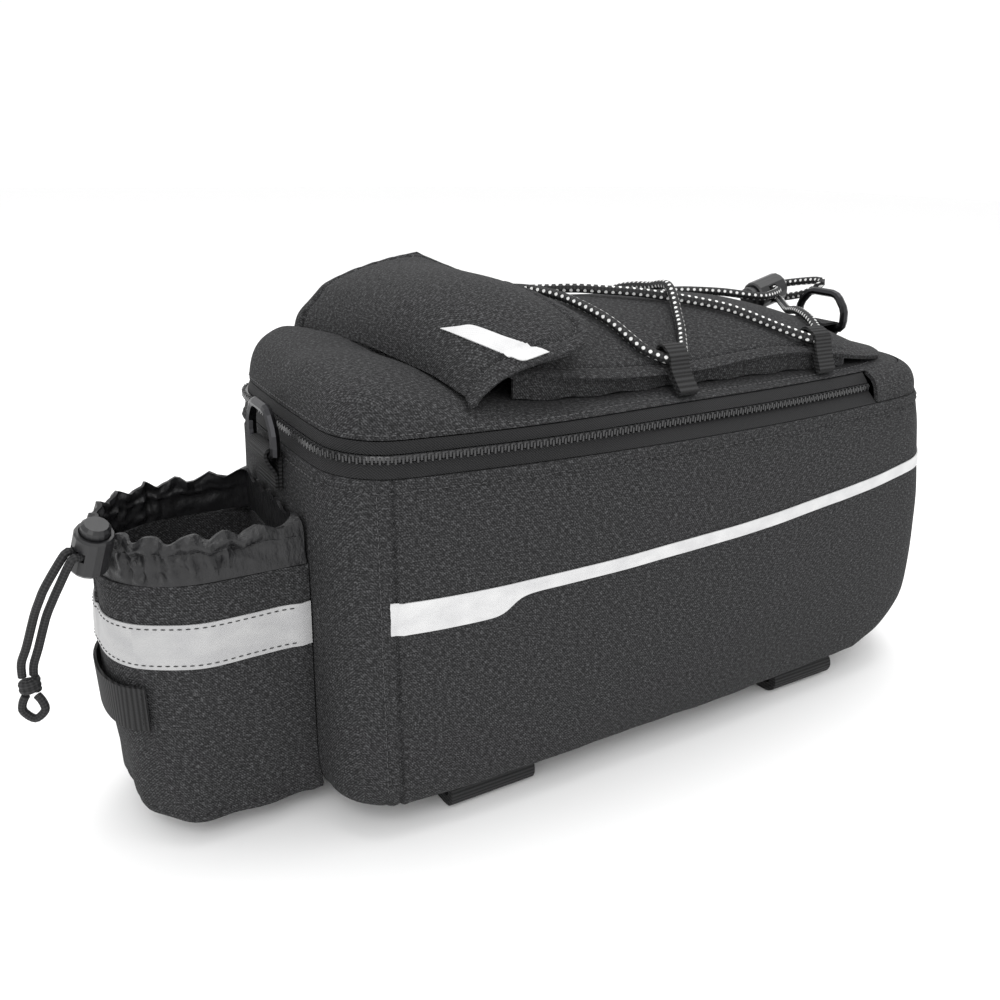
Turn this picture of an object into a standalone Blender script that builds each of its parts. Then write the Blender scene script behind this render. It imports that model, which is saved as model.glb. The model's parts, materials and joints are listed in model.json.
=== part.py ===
"""An insulated bicycle trunk bag with a bottle pocket, as separate soft and hard pieces.

Sizes are in millimetres and become metres when a mesh is made. +X runs along the bag to the end where
the lid hinges, -X carries the bottle pocket, -Y is the near side and +Z is up. Every piece is modelled
round the middle of the tub's underside, and one empty sets the whole bag on its rack straps.
"""

import math
from typing import NamedTuple

import bmesh
import bpy
from mathutils import Vector
from mathutils.bvhtree import BVHTree

MM = 0.001

# Tub: the padded main body
TUB_LEFT = 170.5
TUB_RIGHT = 171.0
TUB_HEIGHT = 138.6
TUB_HALF_WIDTH = 67.0
TUB_BOW = 13.0
TUB_END_BOW = 2.0
TUB_CORNER_LEFT = 26.0
TUB_CORNER_RIGHT = 33.0
TUB_WALL = 4.0
SIDE_STEPS = 10
CORNER_STEPS = 5
END_STEPS = 4
RING_FAR = SIDE_STEPS + 2 * CORNER_STEPS + END_STEPS
RING_SIZE = 2 * RING_FAR

# Zip between the tub and the lid. It ends where the hinge gusset begins, one step of the outline from
# the corner, and the band between tub and lid leans in more towards that end.
ZIP_BAND = 13.4
ZIP_TOP = TUB_HEIGHT + ZIP_BAND
ZIP_END_STEP = 0.8
ZIP_END_GAP = 0.02
LEAN_LEFT = 0.36
LEAN_RIGHT = 1.08
LEAN_START_X = -110.0
LEAN_LENGTH = 100.0
TAPE_OUTER_INSET = 0.5
TAPE_THICKNESS = 1.2
TEETH_SHARE = 0.54
COIL_INSET = 6.0
COIL_HALF_HEIGHT = 1.2
COIL_HALF_DEPTH = 1.5
SLIDER_X = 20.0
SLIDER_SIZE = (11.0, 2.6, 5.0)
PULL_SIZE = (6.0, 1.2, 22.0)
HINGE_WALL = 2.0

# Lid and the pocket on it
LID_LIFT = 0.2
LID_RIM_INSET = 9.0
LID_WALL = 4.0
LID_ARCH_HALF = 66.0
POCKET_PANEL_WALL = 2.0
POCKET_HALF_WIDTH = 60.4
POCKET_MOUTH_X = -97.0
POCKET_END_X = 140.0
EAVE_OVERHANG = 2.4
GUSSET_WALL = 1.6
GUSSET_STATIONS = 10

# Flap over the pocket's mouth
FLAP_ROOT_X = -117.5
FLAP_EDGE_X = -60.0
FLAP_SKEW = 20.0
FLAP_HALF_WIDTH = 67.0
FLAP_WALL = 2.2
FLAP_CORNER = 15.0

# Reflective trim
TRIM_WALL = 0.6
STRIPE_LABEL_HEIGHT = 13.0
POCKET_BAND_LOW = 65.0
POCKET_BAND_HEIGHT = 18.0
PATCH_CORNERS = ((-115.5, -35.6, 184.5), (-107.0, -44.0, 187.0), (-84.0, -65.0, 177.5), (-96.0, -65.5, 175.0))
PATCH_WAY = (0.44, 0.84, -0.32)
PATCH_GAP = 1.7
PATCH_STEPS = 9

# Bottle pocket
BOTTLE_AXIS_X = -207.0
POCKET_RADIUS = 37.5
POCKET_WALL = 1.8
POCKET_HEIGHT = 98.0
POCKET_FLOOR = -4.0
COLLAR_HEIGHT = 18.0
COLLAR_WALL = 1.2
LIGHT_LOOP_LOW = 39.0
LIGHT_LOOP_HEIGHT = 18.0
LIGHT_LOOP_BULGE = 2.0
LIGHT_LOOP_HALF_ANGLE = 46.0

# Webbing, rings and straps
WEBBING_WALL = 1.2
LOOP_WIDTH = 10.0
LOOP_TURN_Y = 57.0
LOOP_FOOT_INSET = 1.0
LOOP_EYE = 4.4
RING_WIDTH = 35.0
RING_HEIGHT = 22.0
RING_ROD = 2.1
RING_X = 133.5
RING_Y = -2.0
RING_TAIL = 16.0
RING_TAB_WIDTH = 22.0
END_RING_Z = 134.5
END_RING_TAIL = 14.0
STRAP_WIDTH = 41.0
STRAP_WALL = 2.2
STRAP_ROLL_DEPTH = 30.0
STRAP_ROLL_HEIGHT = 14.0
STRAP_EDGE_Y = 69.0
STRAP_FRONT_X = 82.0
STRAP_REAR_X = -106.0
STRAP_STEPS = 4

# Cords and their locks
BUNGEE_RADIUS = 2.1
BUNGEE_STEP = 12.0
BUNGEE_LOCK_X = 122.5
BUNGEE_LOCK_Y = 29.0
BUNGEE_LOCK_TILT = 15.0
DRAWCORD_RADIUS = 1.5
DRAWCORD_STEP = 9.0
DRAWCORD_LOCK_PLACE = (-246.2, -24.5, 115.0)
DRAWCORD_LOCK_AXIS = (-0.20, 0.36, -0.91)
DRAWCORD_KNOT = (-272.5, -21.0, 65.5)
KNOT_RADIUS = 3.8
LOCK_SIDES = 16
LOCK_WALL = 1.4
LOCK_TRAVEL = 0.72

# Gap between pieces that are sewn or lie together
SEAM_GAP = 0.35


class TubLevel(NamedTuple):
    """One height of the tub, as shares of TUB_HEIGHT, of its half lengths and of its bow."""

    height: float
    left: float
    right: float
    half_width: float
    bow: float


TUB_LEVELS = (
    TubLevel(height=0.000, left=0.996, right=0.700, half_width=1.035, bow=0.30),
    TubLevel(height=0.020, left=1.003, right=0.830, half_width=1.060, bow=0.42),
    TubLevel(height=0.065, left=1.010, right=0.905, half_width=1.070, bow=0.52),
    TubLevel(height=0.140, left=1.010, right=0.972, half_width=1.060, bow=0.62),
    TubLevel(height=0.230, left=1.008, right=1.000, half_width=1.045, bow=0.70),
    TubLevel(height=0.500, left=1.004, right=0.990, half_width=1.020, bow=0.88),
    TubLevel(height=0.800, left=1.000, right=0.947, half_width=1.005, bow=0.98),
    TubLevel(height=1.000, left=0.994, right=0.890, half_width=1.000, bow=1.00),
)


class RimStep(NamedTuple):
    """One ring of the lid: how far in from its rim, and its share of the lid's height there."""

    inset: float
    rise: float


LID_RIM = (
    RimStep(inset=0.0, rise=0.0),
    RimStep(inset=0.2, rise=0.30),
    RimStep(inset=1.2, rise=0.62),
    RimStep(inset=3.5, rise=0.86),
    RimStep(inset=7.5, rise=1.0),
    RimStep(inset=17.0, rise=1.0),
    RimStep(inset=29.0, rise=1.0),
    RimStep(inset=41.0, rise=1.0),
    RimStep(inset=52.0, rise=1.0),
)
LID_LINING = (
    RimStep(inset=0.0, rise=0.0),
    RimStep(inset=0.6, rise=1.0),
    RimStep(inset=12.0, rise=1.0),
    RimStep(inset=27.0, rise=1.0),
    RimStep(inset=44.0, rise=1.0),
)


class HingePoint(NamedTuple):
    """A point of the hinge gusset's section.

    inset is a share of the lid rim's inset and up a share of the zip band's height; inward and drop
    place the lining's point from it, as shares of the gusset's wall.
    """

    inset: float
    up: float
    inward: float
    drop: float


HINGE_SECTION = (
    HingePoint(inset=0.055, up=0.0, inward=1.0, drop=0.0),
    HingePoint(inset=0.067, up=0.30, inward=1.0, drop=0.1),
    HingePoint(inset=0.240, up=0.68, inward=0.85, drop=0.5),
    HingePoint(inset=0.550, up=0.93, inward=0.5, drop=0.85),
    HingePoint(inset=0.955, up=1.05, inward=0.0, drop=1.0),
)


class LidSection(NamedTuple):
    """An arch across the bag at one place along it: heights over the zip, in millimetres.

    near and far are the heights at its two edges, ridge the height in the middle, and square says how
    boxy it is. The stuffed pocket stands higher on its far side.
    """

    x: float
    near: float
    ridge: float
    far: float
    square: float


# Under the pocket the lid runs lower than the pocket panel, which has a table of its own.
LID_SECTIONS = (
    LidSection(x=-172.0, near=4.0, ridge=10.0, far=9.0, square=3.2),
    LidSection(x=-162.0, near=10.0, ridge=18.0, far=17.0, square=3.2),
    LidSection(x=-150.0, near=12.0, ridge=21.5, far=20.5, square=3.2),
    LidSection(x=-137.0, near=10.5, ridge=21.0, far=21.0, square=3.2),
    LidSection(x=-124.0, near=8.0, ridge=16.5, far=16.0, square=3.2),
    LidSection(x=-112.0, near=6.0, ridge=13.0, far=11.0, square=3.0),
    LidSection(x=-97.0, near=4.0, ridge=10.0, far=7.0, square=2.4),
    LidSection(x=-60.0, near=2.0, ridge=8.0, far=2.0, square=2.0),
    LidSection(x=20.0, near=2.0, ridge=8.0, far=2.0, square=2.0),
    LidSection(x=80.0, near=2.0, ridge=6.0, far=2.0, square=2.0),
    LidSection(x=112.0, near=1.4, ridge=3.4, far=1.4, square=2.0),
    LidSection(x=130.0, near=1.0, ridge=1.6, far=1.0, square=2.0),
    LidSection(x=172.0, near=0.8, ridge=0.9, far=0.8, square=2.0),
)
PANEL_SECTIONS = (
    LidSection(x=-97.0, near=17.0, ridge=36.0, far=31.0, square=2.4),
    LidSection(x=-63.0, near=12.0, ridge=36.0, far=18.0, square=2.1),
    LidSection(x=-35.0, near=10.0, ridge=35.0, far=11.0, square=2.0),
    LidSection(x=-5.0, near=9.5, ridge=34.0, far=9.5, square=2.0),
    LidSection(x=22.0, near=12.0, ridge=33.5, far=12.0, square=2.0),
    LidSection(x=45.0, near=13.7, ridge=32.3, far=13.7, square=2.0),
    LidSection(x=80.0, near=9.8, ridge=26.5, far=9.8, square=2.0),
    LidSection(x=100.0, near=6.8, ridge=20.5, far=6.8, square=2.0),
    LidSection(x=112.0, near=5.0, ridge=15.5, far=5.0, square=2.0),
    LidSection(x=124.0, near=3.9, ridge=8.8, far=3.9, square=2.2),
    LidSection(x=132.0, near=3.6, ridge=5.8, far=3.6, square=2.4),
    LidSection(x=140.0, near=3.4, ridge=4.0, far=3.4, square=2.4),
)
FLAP_SECTIONS = (
    LidSection(x=-117.5, near=8.5, ridge=19.0, far=22.5, square=2.6),
    LidSection(x=-116.6, near=10.0, ridge=24.0, far=25.5, square=2.6),
    LidSection(x=-114.0, near=13.0, ridge=32.0, far=31.0, square=2.6),
    LidSection(x=-108.0, near=17.0, ridge=41.0, far=35.5, square=2.6),
    LidSection(x=-98.0, near=21.5, ridge=47.0, far=41.0, square=2.6),
    LidSection(x=-86.0, near=23.5, ridge=49.0, far=46.0, square=2.6),
    LidSection(x=-74.0, near=26.0, ridge=46.5, far=48.5, square=2.6),
    LidSection(x=-60.0, near=29.0, ridge=40.0, far=41.0, square=2.6),
)


class PlanStep(NamedTuple):
    """The pocket panel's half width at one place along the bag, as a share of POCKET_HALF_WIDTH."""

    x: float
    half: float


PANEL_PLAN = (
    PlanStep(x=-97.0, half=1.0),
    PlanStep(x=94.0, half=1.0),
    PlanStep(x=110.0, half=0.965),
    PlanStep(x=123.0, half=0.89),
    PlanStep(x=133.0, half=0.75),
    PlanStep(x=140.0, half=0.56),
)
# Chosen shares: where the arches get their rows and columns, closer where they bend more.
PANEL_STATIONS = (0.0, 0.07, 0.14, 0.25, 0.37, 0.48, 0.57, 0.65, 0.715, 0.785, 0.845, 0.9, 0.95, 1.0)
PANEL_ACROSS = (-1.0, -0.9, -0.75, -0.57, -0.37, -0.13, 0.13, 0.37, 0.57, 0.75, 0.9, 1.0)
FLAP_STATIONS = (0.0, 0.018, 0.065, 0.17, 0.36, 0.58, 0.8, 0.93, 1.0)
FLAP_ACROSS = (-1.0, -0.97, -0.9, -0.78, -0.6, -0.36, -0.12, 0.12, 0.36, 0.6, 0.78, 0.9, 0.97, 1.0)


class StripeRow(NamedTuple):
    """The side stripe at one place of the tub's outline, counted in its points.

    top is a share of TUB_HEIGHT and depth a share of STRIPE_LABEL_HEIGHT.
    """

    place: float
    top: float
    depth: float


STRIPE_ROWS = (
    StripeRow(place=11.0, top=0.657, depth=1.0),
    StripeRow(place=10.0, top=0.652, depth=1.0),
    StripeRow(place=9.0, top=0.650, depth=1.0),
    StripeRow(place=8.63, top=0.652, depth=1.0),
    StripeRow(place=8.42, top=0.6545, depth=0.46),
    StripeRow(place=8.0, top=0.657, depth=0.44),
    StripeRow(place=7.0, top=0.664, depth=0.44),
    StripeRow(place=6.0, top=0.674, depth=0.44),
    StripeRow(place=5.0, top=0.6825, depth=0.44),
    StripeRow(place=4.0, top=0.691, depth=0.44),
    StripeRow(place=3.0, top=0.705, depth=0.44),
    StripeRow(place=2.0, top=0.718, depth=0.44),
    StripeRow(place=1.0, top=0.730, depth=0.44),
    StripeRow(place=0.0, top=0.747, depth=0.44),
    StripeRow(place=-1.0, top=0.754, depth=0.44),
    StripeRow(place=-2.0, top=0.761, depth=0.44),
    StripeRow(place=-3.0, top=0.767, depth=0.44),
    StripeRow(place=-4.0, top=0.772, depth=0.44),
)


class PocketLevel(NamedTuple):
    """One height of the bottle pocket: shares of its height, its radius and how square its front is."""

    height: float
    reach: float
    half_width: float
    square: float


POCKET_LEVELS = (
    PocketLevel(height=0.00, reach=0.87, half_width=1.00, square=2.5),
    PocketLevel(height=0.03, reach=0.91, half_width=1.04, square=2.5),
    PocketLevel(height=0.12, reach=0.96, half_width=1.05, square=2.4),
    PocketLevel(height=0.35, reach=1.00, half_width=1.03, square=2.3),
    PocketLevel(height=0.60, reach=1.02, half_width=1.01, square=2.2),
    PocketLevel(height=0.88, reach=1.02, half_width=1.00, square=2.1),
    PocketLevel(height=1.00, reach=1.00, half_width=0.98, square=2.1),
)


class WebbingLoop(NamedTuple):
    """One webbing loop of the lid that the bungee cord runs through."""

    name: str
    x: float
    side: int


WEBBING_LOOPS = (
    WebbingLoop(name="near_loop_a", x=-17.0, side=-1),
    WebbingLoop(name="near_loop_b", x=69.0, side=-1),
    WebbingLoop(name="far_loop_a", x=-80.0, side=1),
    WebbingLoop(name="far_loop_b", x=28.0, side=1),
)


class RingSpot(NamedTuple):
    """A point of half a D-ring's outline, as shares of its half width and its height."""

    across: float
    up: float


RING_OUTLINE = (
    RingSpot(across=0.0, up=0.0),
    RingSpot(across=0.68, up=0.0),
    RingSpot(across=0.88, up=0.02),
    RingSpot(across=0.97, up=0.10),
    RingSpot(across=1.0, up=0.25),
    RingSpot(across=0.98, up=0.50),
    RingSpot(across=0.90, up=0.66),
    RingSpot(across=0.70, up=0.87),
    RingSpot(across=0.57, up=0.96),
    RingSpot(across=0.40, up=1.0),
    RingSpot(across=0.0, up=1.0),
)


class RoutePoint(NamedTuple):
    """A point that the bungee cord passes.

    Without a loop or a layer it lies on the pocket panel at x and y, raised by lift. With a loop the
    offsets count from that loop's turning point, and with a layer (1 over, -1 under) from the lock.
    """

    x: float
    y: float
    lift: float = 0.0
    loop: str = ""
    layer: int = 0


# Chosen by eye, in the order in which the cord runs.
BUNGEE_ROUTE = (
    RoutePoint(x=4.6, y=-0.8, lift=0.6, loop="far_loop_a"),
    RoutePoint(x=0.0, y=0.0, loop="far_loop_a"),
    RoutePoint(x=-4.6, y=-0.8, lift=0.6, loop="far_loop_a"),
    RoutePoint(x=-90.0, y=51.0),
    RoutePoint(x=-82.0, y=44.0),
    RoutePoint(x=-62.0, y=33.0),
    RoutePoint(x=-53.0, y=8.0),
    RoutePoint(x=-43.0, y=-14.0),
    RoutePoint(x=-34.0, y=-38.0, lift=0.6),
    RoutePoint(x=-28.5, y=-51.5, lift=0.6),
    RoutePoint(x=-4.6, y=0.8, lift=0.6, loop="near_loop_a"),
    RoutePoint(x=0.0, y=0.0, loop="near_loop_a"),
    RoutePoint(x=4.6, y=0.8, lift=0.6, loop="near_loop_a"),
    RoutePoint(x=-5.5, y=-50.0),
    RoutePoint(x=4.5, y=-34.0),
    RoutePoint(x=12.0, y=-18.0, lift=4.7),
    RoutePoint(x=16.0, y=0.0, lift=0.6),
    RoutePoint(x=15.5, y=24.0),
    RoutePoint(x=16.0, y=49.0),
    RoutePoint(x=-4.6, y=-0.8, lift=0.6, loop="far_loop_b"),
    RoutePoint(x=0.0, y=0.0, loop="far_loop_b"),
    RoutePoint(x=4.6, y=-0.8, lift=0.6, loop="far_loop_b"),
    RoutePoint(x=40.0, y=48.0),
    RoutePoint(x=60.0, y=33.0, lift=0.6),
    RoutePoint(x=82.0, y=18.0, lift=1.0),
    RoutePoint(x=100.0, y=9.0, lift=3.0),
    RoutePoint(x=0.0, y=-10.0, layer=1),
    RoutePoint(x=0.0, y=0.0, layer=1),
    RoutePoint(x=0.0, y=9.5, layer=1),
    RoutePoint(x=11.0, y=14.0, lift=-2.0, layer=1),
    RoutePoint(x=24.0, y=5.0, lift=1.0, layer=1),
    RoutePoint(x=29.0, y=-11.0, lift=4.0, layer=1),
    RoutePoint(x=27.5, y=-16.0, lift=3.0, layer=1),
    RoutePoint(x=23.5, y=-9.0, lift=2.0, layer=-1),
    RoutePoint(x=19.0, y=4.0, lift=-2.0, layer=-1),
    RoutePoint(x=10.0, y=12.0, lift=-3.0, layer=-1),
    RoutePoint(x=0.0, y=9.5, layer=-1),
    RoutePoint(x=0.0, y=0.0, layer=-1),
    RoutePoint(x=0.0, y=-10.0, layer=-1),
    RoutePoint(x=107.0, y=-4.0),
    RoutePoint(x=95.0, y=-24.0),
    RoutePoint(x=82.0, y=-46.0),
    RoutePoint(x=4.6, y=0.8, lift=0.6, loop="near_loop_b"),
    RoutePoint(x=0.0, y=0.0, loop="near_loop_b"),
    RoutePoint(x=-4.6, y=0.8, lift=0.6, loop="near_loop_b"),
    RoutePoint(x=52.5, y=-47.0),
    RoutePoint(x=36.0, y=-33.0),
    RoutePoint(x=12.0, y=-17.5),
    RoutePoint(x=-12.0, y=-3.0),
    RoutePoint(x=-34.0, y=13.0),
    RoutePoint(x=-54.0, y=31.0),
    RoutePoint(x=-68.0, y=50.0),
)


class CordPoint(NamedTuple):
    """A point of the drawcord's hanging strands, and half the distance between the two there."""

    x: float
    y: float
    z: float
    spread: float


DRAWCORD_ROUTE = (
    CordPoint(x=-260.6, y=-28.0, z=105.0, spread=1.9),
    CordPoint(x=-265.8, y=-24.0, z=92.5, spread=1.8),
    CordPoint(x=-269.6, y=-22.5, z=81.0, spread=1.8),
    CordPoint(x=-272.0, y=-21.5, z=74.5, spread=1.9),
)
# The cord's end loop under the knot: across and down from the knot's middle.
DRAWCORD_TAIL = ((-2.0, 4.1), (-3.6, 7.0), (-3.8, 10.5), (0.0, 13.8), (3.8, 10.5), (3.6, 7.0), (2.0, 4.1))
LOOSE_PIECES = (
    "drawcord_upper",
    "drawcord_lower",
    "drawcord_knot",
    "drawcord_loop",
    "drawcord_lock_barrel",
    "drawcord_lock_plunger",
)


class Finish(NamedTuple):
    """A material's look."""

    color: tuple
    roughness: float
    metallic: float


FINISHES = {
    "fabric": Finish(color=(0.040, 0.040, 0.042), roughness=0.85, metallic=0.0),
    "webbing": Finish(color=(0.012, 0.012, 0.013), roughness=0.75, metallic=0.0),
    "zip_tape": Finish(color=(0.018, 0.018, 0.019), roughness=0.70, metallic=0.0),
    "zip_coil": Finish(color=(0.015, 0.015, 0.016), roughness=0.35, metallic=0.0),
    "nylon": Finish(color=(0.014, 0.014, 0.015), roughness=0.45, metallic=0.0),
    "reflective": Finish(color=(0.72, 0.72, 0.72), roughness=0.40, metallic=0.0),
    "plastic": Finish(color=(0.010, 0.010, 0.011), roughness=0.35, metallic=0.0),
    "cord": Finish(color=(0.012, 0.012, 0.013), roughness=0.65, metallic=0.0),
    "metal": Finish(color=(0.10, 0.10, 0.11), roughness=0.35, metallic=1.0),
}


def clear_scene():
    for obj in list(bpy.data.objects):
        bpy.data.objects.remove(obj, do_unlink=True)


def material(name):
    """The Principled material of one finish, made once."""
    if name in bpy.data.materials:
        return bpy.data.materials[name]
    finish = FINISHES[name]
    made = bpy.data.materials.new(name)
    made.use_nodes = True
    shader = made.node_tree.nodes["Principled BSDF"]
    shader.inputs["Base Color"].default_value = (*finish.color, 1.0)
    shader.inputs["Roughness"].default_value = finish.roughness
    shader.inputs["Metallic"].default_value = finish.metallic
    return made


def mix(low, high, share):
    return low + (high - low) * share


def smooth_step(share):
    share = min(1.0, max(0.0, share))
    return share * share * (3.0 - 2.0 * share)


def between(rows, key, value, field):
    """The field of a table at value, read along its key column with straight lines between rows."""
    if value <= getattr(rows[0], key):
        return getattr(rows[0], field)
    for low, high in zip(rows, rows[1:]):
        if value <= getattr(high, key):
            share = (value - getattr(low, key)) / (getattr(high, key) - getattr(low, key))
            return mix(getattr(low, field), getattr(high, field), share)
    return getattr(rows[-1], field)


class Assembly:
    """Makes the objects and hangs each one on the empty that sets the bag on its straps."""

    def __init__(self):
        self.root = bpy.data.objects.new("bag_origin", None)
        self.surfaces = {}
        bpy.context.scene.collection.objects.link(self.root)

    def add(self, name, data, finish, hidden=False):
        obj = bpy.data.objects.new(name, data)
        if finish:
            obj.data.materials.append(material(finish))
        obj.parent = self.root
        if hidden:
            obj.hide_render = True
            obj.display_type = "WIRE"
        bpy.context.scene.collection.objects.link(obj)
        return obj

    def mesh(self, name, points, faces, finish, hidden=False, origin=(0.0, 0.0, 0.0)):
        """A closed mesh with outward faces; origin is where the object's own origin lies."""
        data = bpy.data.meshes.new(name)
        base = Vector(origin)
        data.from_pydata([(Vector(p) - base) * MM for p in points], [], faces)
        face_outward(data)
        data.shade_smooth()
        data.set_sharp_from_angle(angle=math.radians(40.0))
        obj = self.add(name, data, finish, hidden)
        obj.location = base * MM
        self.surfaces[name] = Surface(points, faces)
        return obj

    def tube(self, name, points, radius, finish, resolution=2, closed=False, origin=(0.0, 0.0, 0.0)):
        """A round rod along points, as a bevelled curve with filled caps."""
        base = Vector(origin)
        curve = bpy.data.curves.new(name, "CURVE")
        curve.dimensions = "3D"
        curve.bevel_depth = radius * MM
        curve.bevel_resolution = resolution
        curve.use_fill_caps = not closed
        spline = curve.splines.new("POLY")
        spline.points.add(len(points) - 1)
        for spot, point in zip(spline.points, points):
            spot.co = (*((Vector(point) - base) * MM), 1.0)
        spline.use_cyclic_u = closed
        spline.use_smooth = True
        obj = self.add(name, curve, finish)
        obj.location = base * MM
        return obj

    def settle(self):
        """Moves the bag so that the origin lies under the middle of its fixed pieces."""
        bpy.context.view_layer.update()
        graph = bpy.context.evaluated_depsgraph_get()
        corners = []
        for obj in self.root.children:
            if obj.hide_render or obj.name in LOOSE_PIECES:
                continue
            whole = obj.evaluated_get(graph)
            corners += [obj.matrix_world @ vertex.co for vertex in whole.to_mesh().vertices]
            whole.to_mesh_clear()
        low = [min(corner[k] for corner in corners) for k in range(3)]
        high = [max(corner[k] for corner in corners) for k in range(3)]
        self.root.location = (-(low[0] + high[0]) / 2, -(low[1] + high[1]) / 2, -low[2])


def face_outward(data):
    """Turns every face of a closed mesh outward."""
    made = bmesh.new()
    made.from_mesh(data)
    bmesh.ops.recalc_face_normals(made, faces=made.faces)
    made.to_mesh(data)
    made.free()


def joined_rings(rings, first_index=0):
    """Quads between neighbouring closed rings of one length."""
    size = len(rings[0])
    faces = []
    for row in range(len(rings) - 1):
        for spot in range(size):
            following = (spot + 1) % size
            low = first_index + row * size
            faces.append((low + spot, low + following, low + size + following, low + size + spot))
    return faces


def cup(outer, inner):
    """A closed wall between two stacks of rings, both from the open rim to a closed end."""
    rings = list(reversed(outer)) + list(inner)
    points = [p for ring in rings for p in ring]
    size = len(rings[0])
    faces = joined_rings(rings)
    for ring, start in ((rings[0], 0), (rings[-1], (len(rings) - 1) * size)):
        points.append(sum((Vector(p) for p in ring), Vector()) / size)
        middle = len(points) - 1
        faces += [(start + k, start + (k + 1) % size, middle) for k in range(size)]
    return points, faces


def sleeve(outer, inner):
    """A closed wall between two stacks of rings that is open at both ends."""
    rings = list(outer) + list(reversed(inner))
    rings.append(rings[0])
    size = len(rings[0])
    points = [p for ring in rings[:-1] for p in ring]
    count = len(points)
    faces = [tuple(index % count for index in face) for face in joined_rings(rings)]
    return points, faces


def grid_normals(grid):
    """Unit normals of a grid of points, from the differences along its rows and columns."""
    rows, columns = len(grid), len(grid[0])
    normals = []
    for i in range(rows):
        line = []
        for j in range(columns):
            along = Vector(grid[min(i + 1, rows - 1)][j]) - Vector(grid[max(i - 1, 0)][j])
            across = Vector(grid[i][min(j + 1, columns - 1)]) - Vector(grid[i][max(j - 1, 0)])
            line.append(along.cross(across).normalized())
        normals.append(line)
    return normals


def slab(grid, thickness):
    """A closed sheet: the grid's own surface and a copy pushed along its normals by thickness."""
    rows, columns = len(grid), len(grid[0])
    normals = grid_normals(grid)
    top = [Vector(p) for line in grid for p in line]
    bottom = [
        Vector(grid[i][j]) + normals[i][j] * thickness for i in range(rows) for j in range(columns)
    ]
    half = rows * columns
    faces = []
    for i in range(rows - 1):
        for j in range(columns - 1):
            a, b = i * columns + j, i * columns + j + 1
            c, d = (i + 1) * columns + j + 1, (i + 1) * columns + j
            faces.append((a, b, c, d))
            faces.append((half + d, half + c, half + b, half + a))
    rim = [j for j in range(columns)]
    rim += [i * columns + columns - 1 for i in range(1, rows)]
    rim += [(rows - 1) * columns + j for j in range(columns - 2, -1, -1)]
    rim += [i * columns for i in range(rows - 2, 0, -1)]
    for here, there in zip(rim, rim[1:] + rim[:1]):
        faces.append((there, here, half + here, half + there))
    return top + bottom, faces


def band(path, across, width, thickness, columns=2):
    """A strip of webbing round a path: the path is the middle of its width and of its thickness."""
    side = Vector(across).normalized()
    shares = [k / (columns - 1) - 0.5 for k in range(columns)]
    grid = [[Vector(p) + side * width * share for share in shares] for p in path]
    normals = grid_normals(grid)
    grid = [[p - n * thickness / 2 for p, n in zip(line, ways)] for line, ways in zip(grid, normals)]
    return slab(grid, thickness)


def box(size, at):
    """The points and faces of a box centred on a place."""
    half = [s / 2 for s in size]
    points = [
        Vector(at) + Vector((x * half[0], y * half[1], z * half[2]))
        for z in (-1, 1)
        for x, y in ((-1, -1), (1, -1), (1, 1), (-1, 1))
    ]
    faces = [(0, 3, 2, 1), (4, 5, 6, 7), (0, 1, 5, 4), (1, 2, 6, 5), (2, 3, 7, 6), (3, 0, 4, 7)]
    return points, faces


def turned(profile, axis, at, steps=20):
    """A solid of revolution: profile holds (along, radius) pairs from one end of the axis to the other."""
    forward = Vector(axis).normalized()
    side = forward.orthogonal().normalized()
    other = forward.cross(side)
    rings = []
    for along, radius in profile:
        ring = []
        for k in range(steps):
            angle = 2 * math.pi * k / steps
            ring.append(
                Vector(at)
                + forward * along
                + side * radius * math.cos(angle)
                + other * radius * math.sin(angle)
            )
        rings.append(ring)
    points = [p for ring in rings for p in ring]
    faces = joined_rings(rings)
    faces.append(tuple(range(steps)))
    faces.append(tuple(range((len(rings) - 1) * steps, len(rings) * steps)))
    return points, faces


def smooth_route(points, step, closed=False):
    """Points at most about step apart on a smooth curve that passes every given point."""
    spots = [Vector(p) for p in points]
    size = len(spots)
    spans = size if closed else size - 1
    route = []
    for span in range(spans):
        if closed:
            a, b, c, d = (spots[(span + offset) % size] for offset in (-1, 0, 1, 2))
        else:
            a, b = spots[max(span - 1, 0)], spots[span]
            c, d = spots[span + 1], spots[min(span + 2, size - 1)]
        parts = max(1, round((c - b).length / step))
        for k in range(parts):
            t = k / parts
            bend = (2 * a - 5 * b + 4 * c - d) * t**2 + (3 * b - a - 3 * c + d) * t**3
            route.append(0.5 * (2 * b + (c - a) * t + bend))
    if not closed:
        route.append(spots[-1])
    return route


def tub_level(height):
    """The tub's left end, right end, half width and bow at a height, in millimetres."""
    share = height / TUB_HEIGHT
    rows = TUB_LEVELS
    return (
        -TUB_LEFT * between(rows, "height", share, "left"),
        TUB_RIGHT * between(rows, "height", share, "right"),
        TUB_HALF_WIDTH * between(rows, "height", share, "half_width"),
        TUB_BOW * between(rows, "height", share, "bow"),
    )


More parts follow.
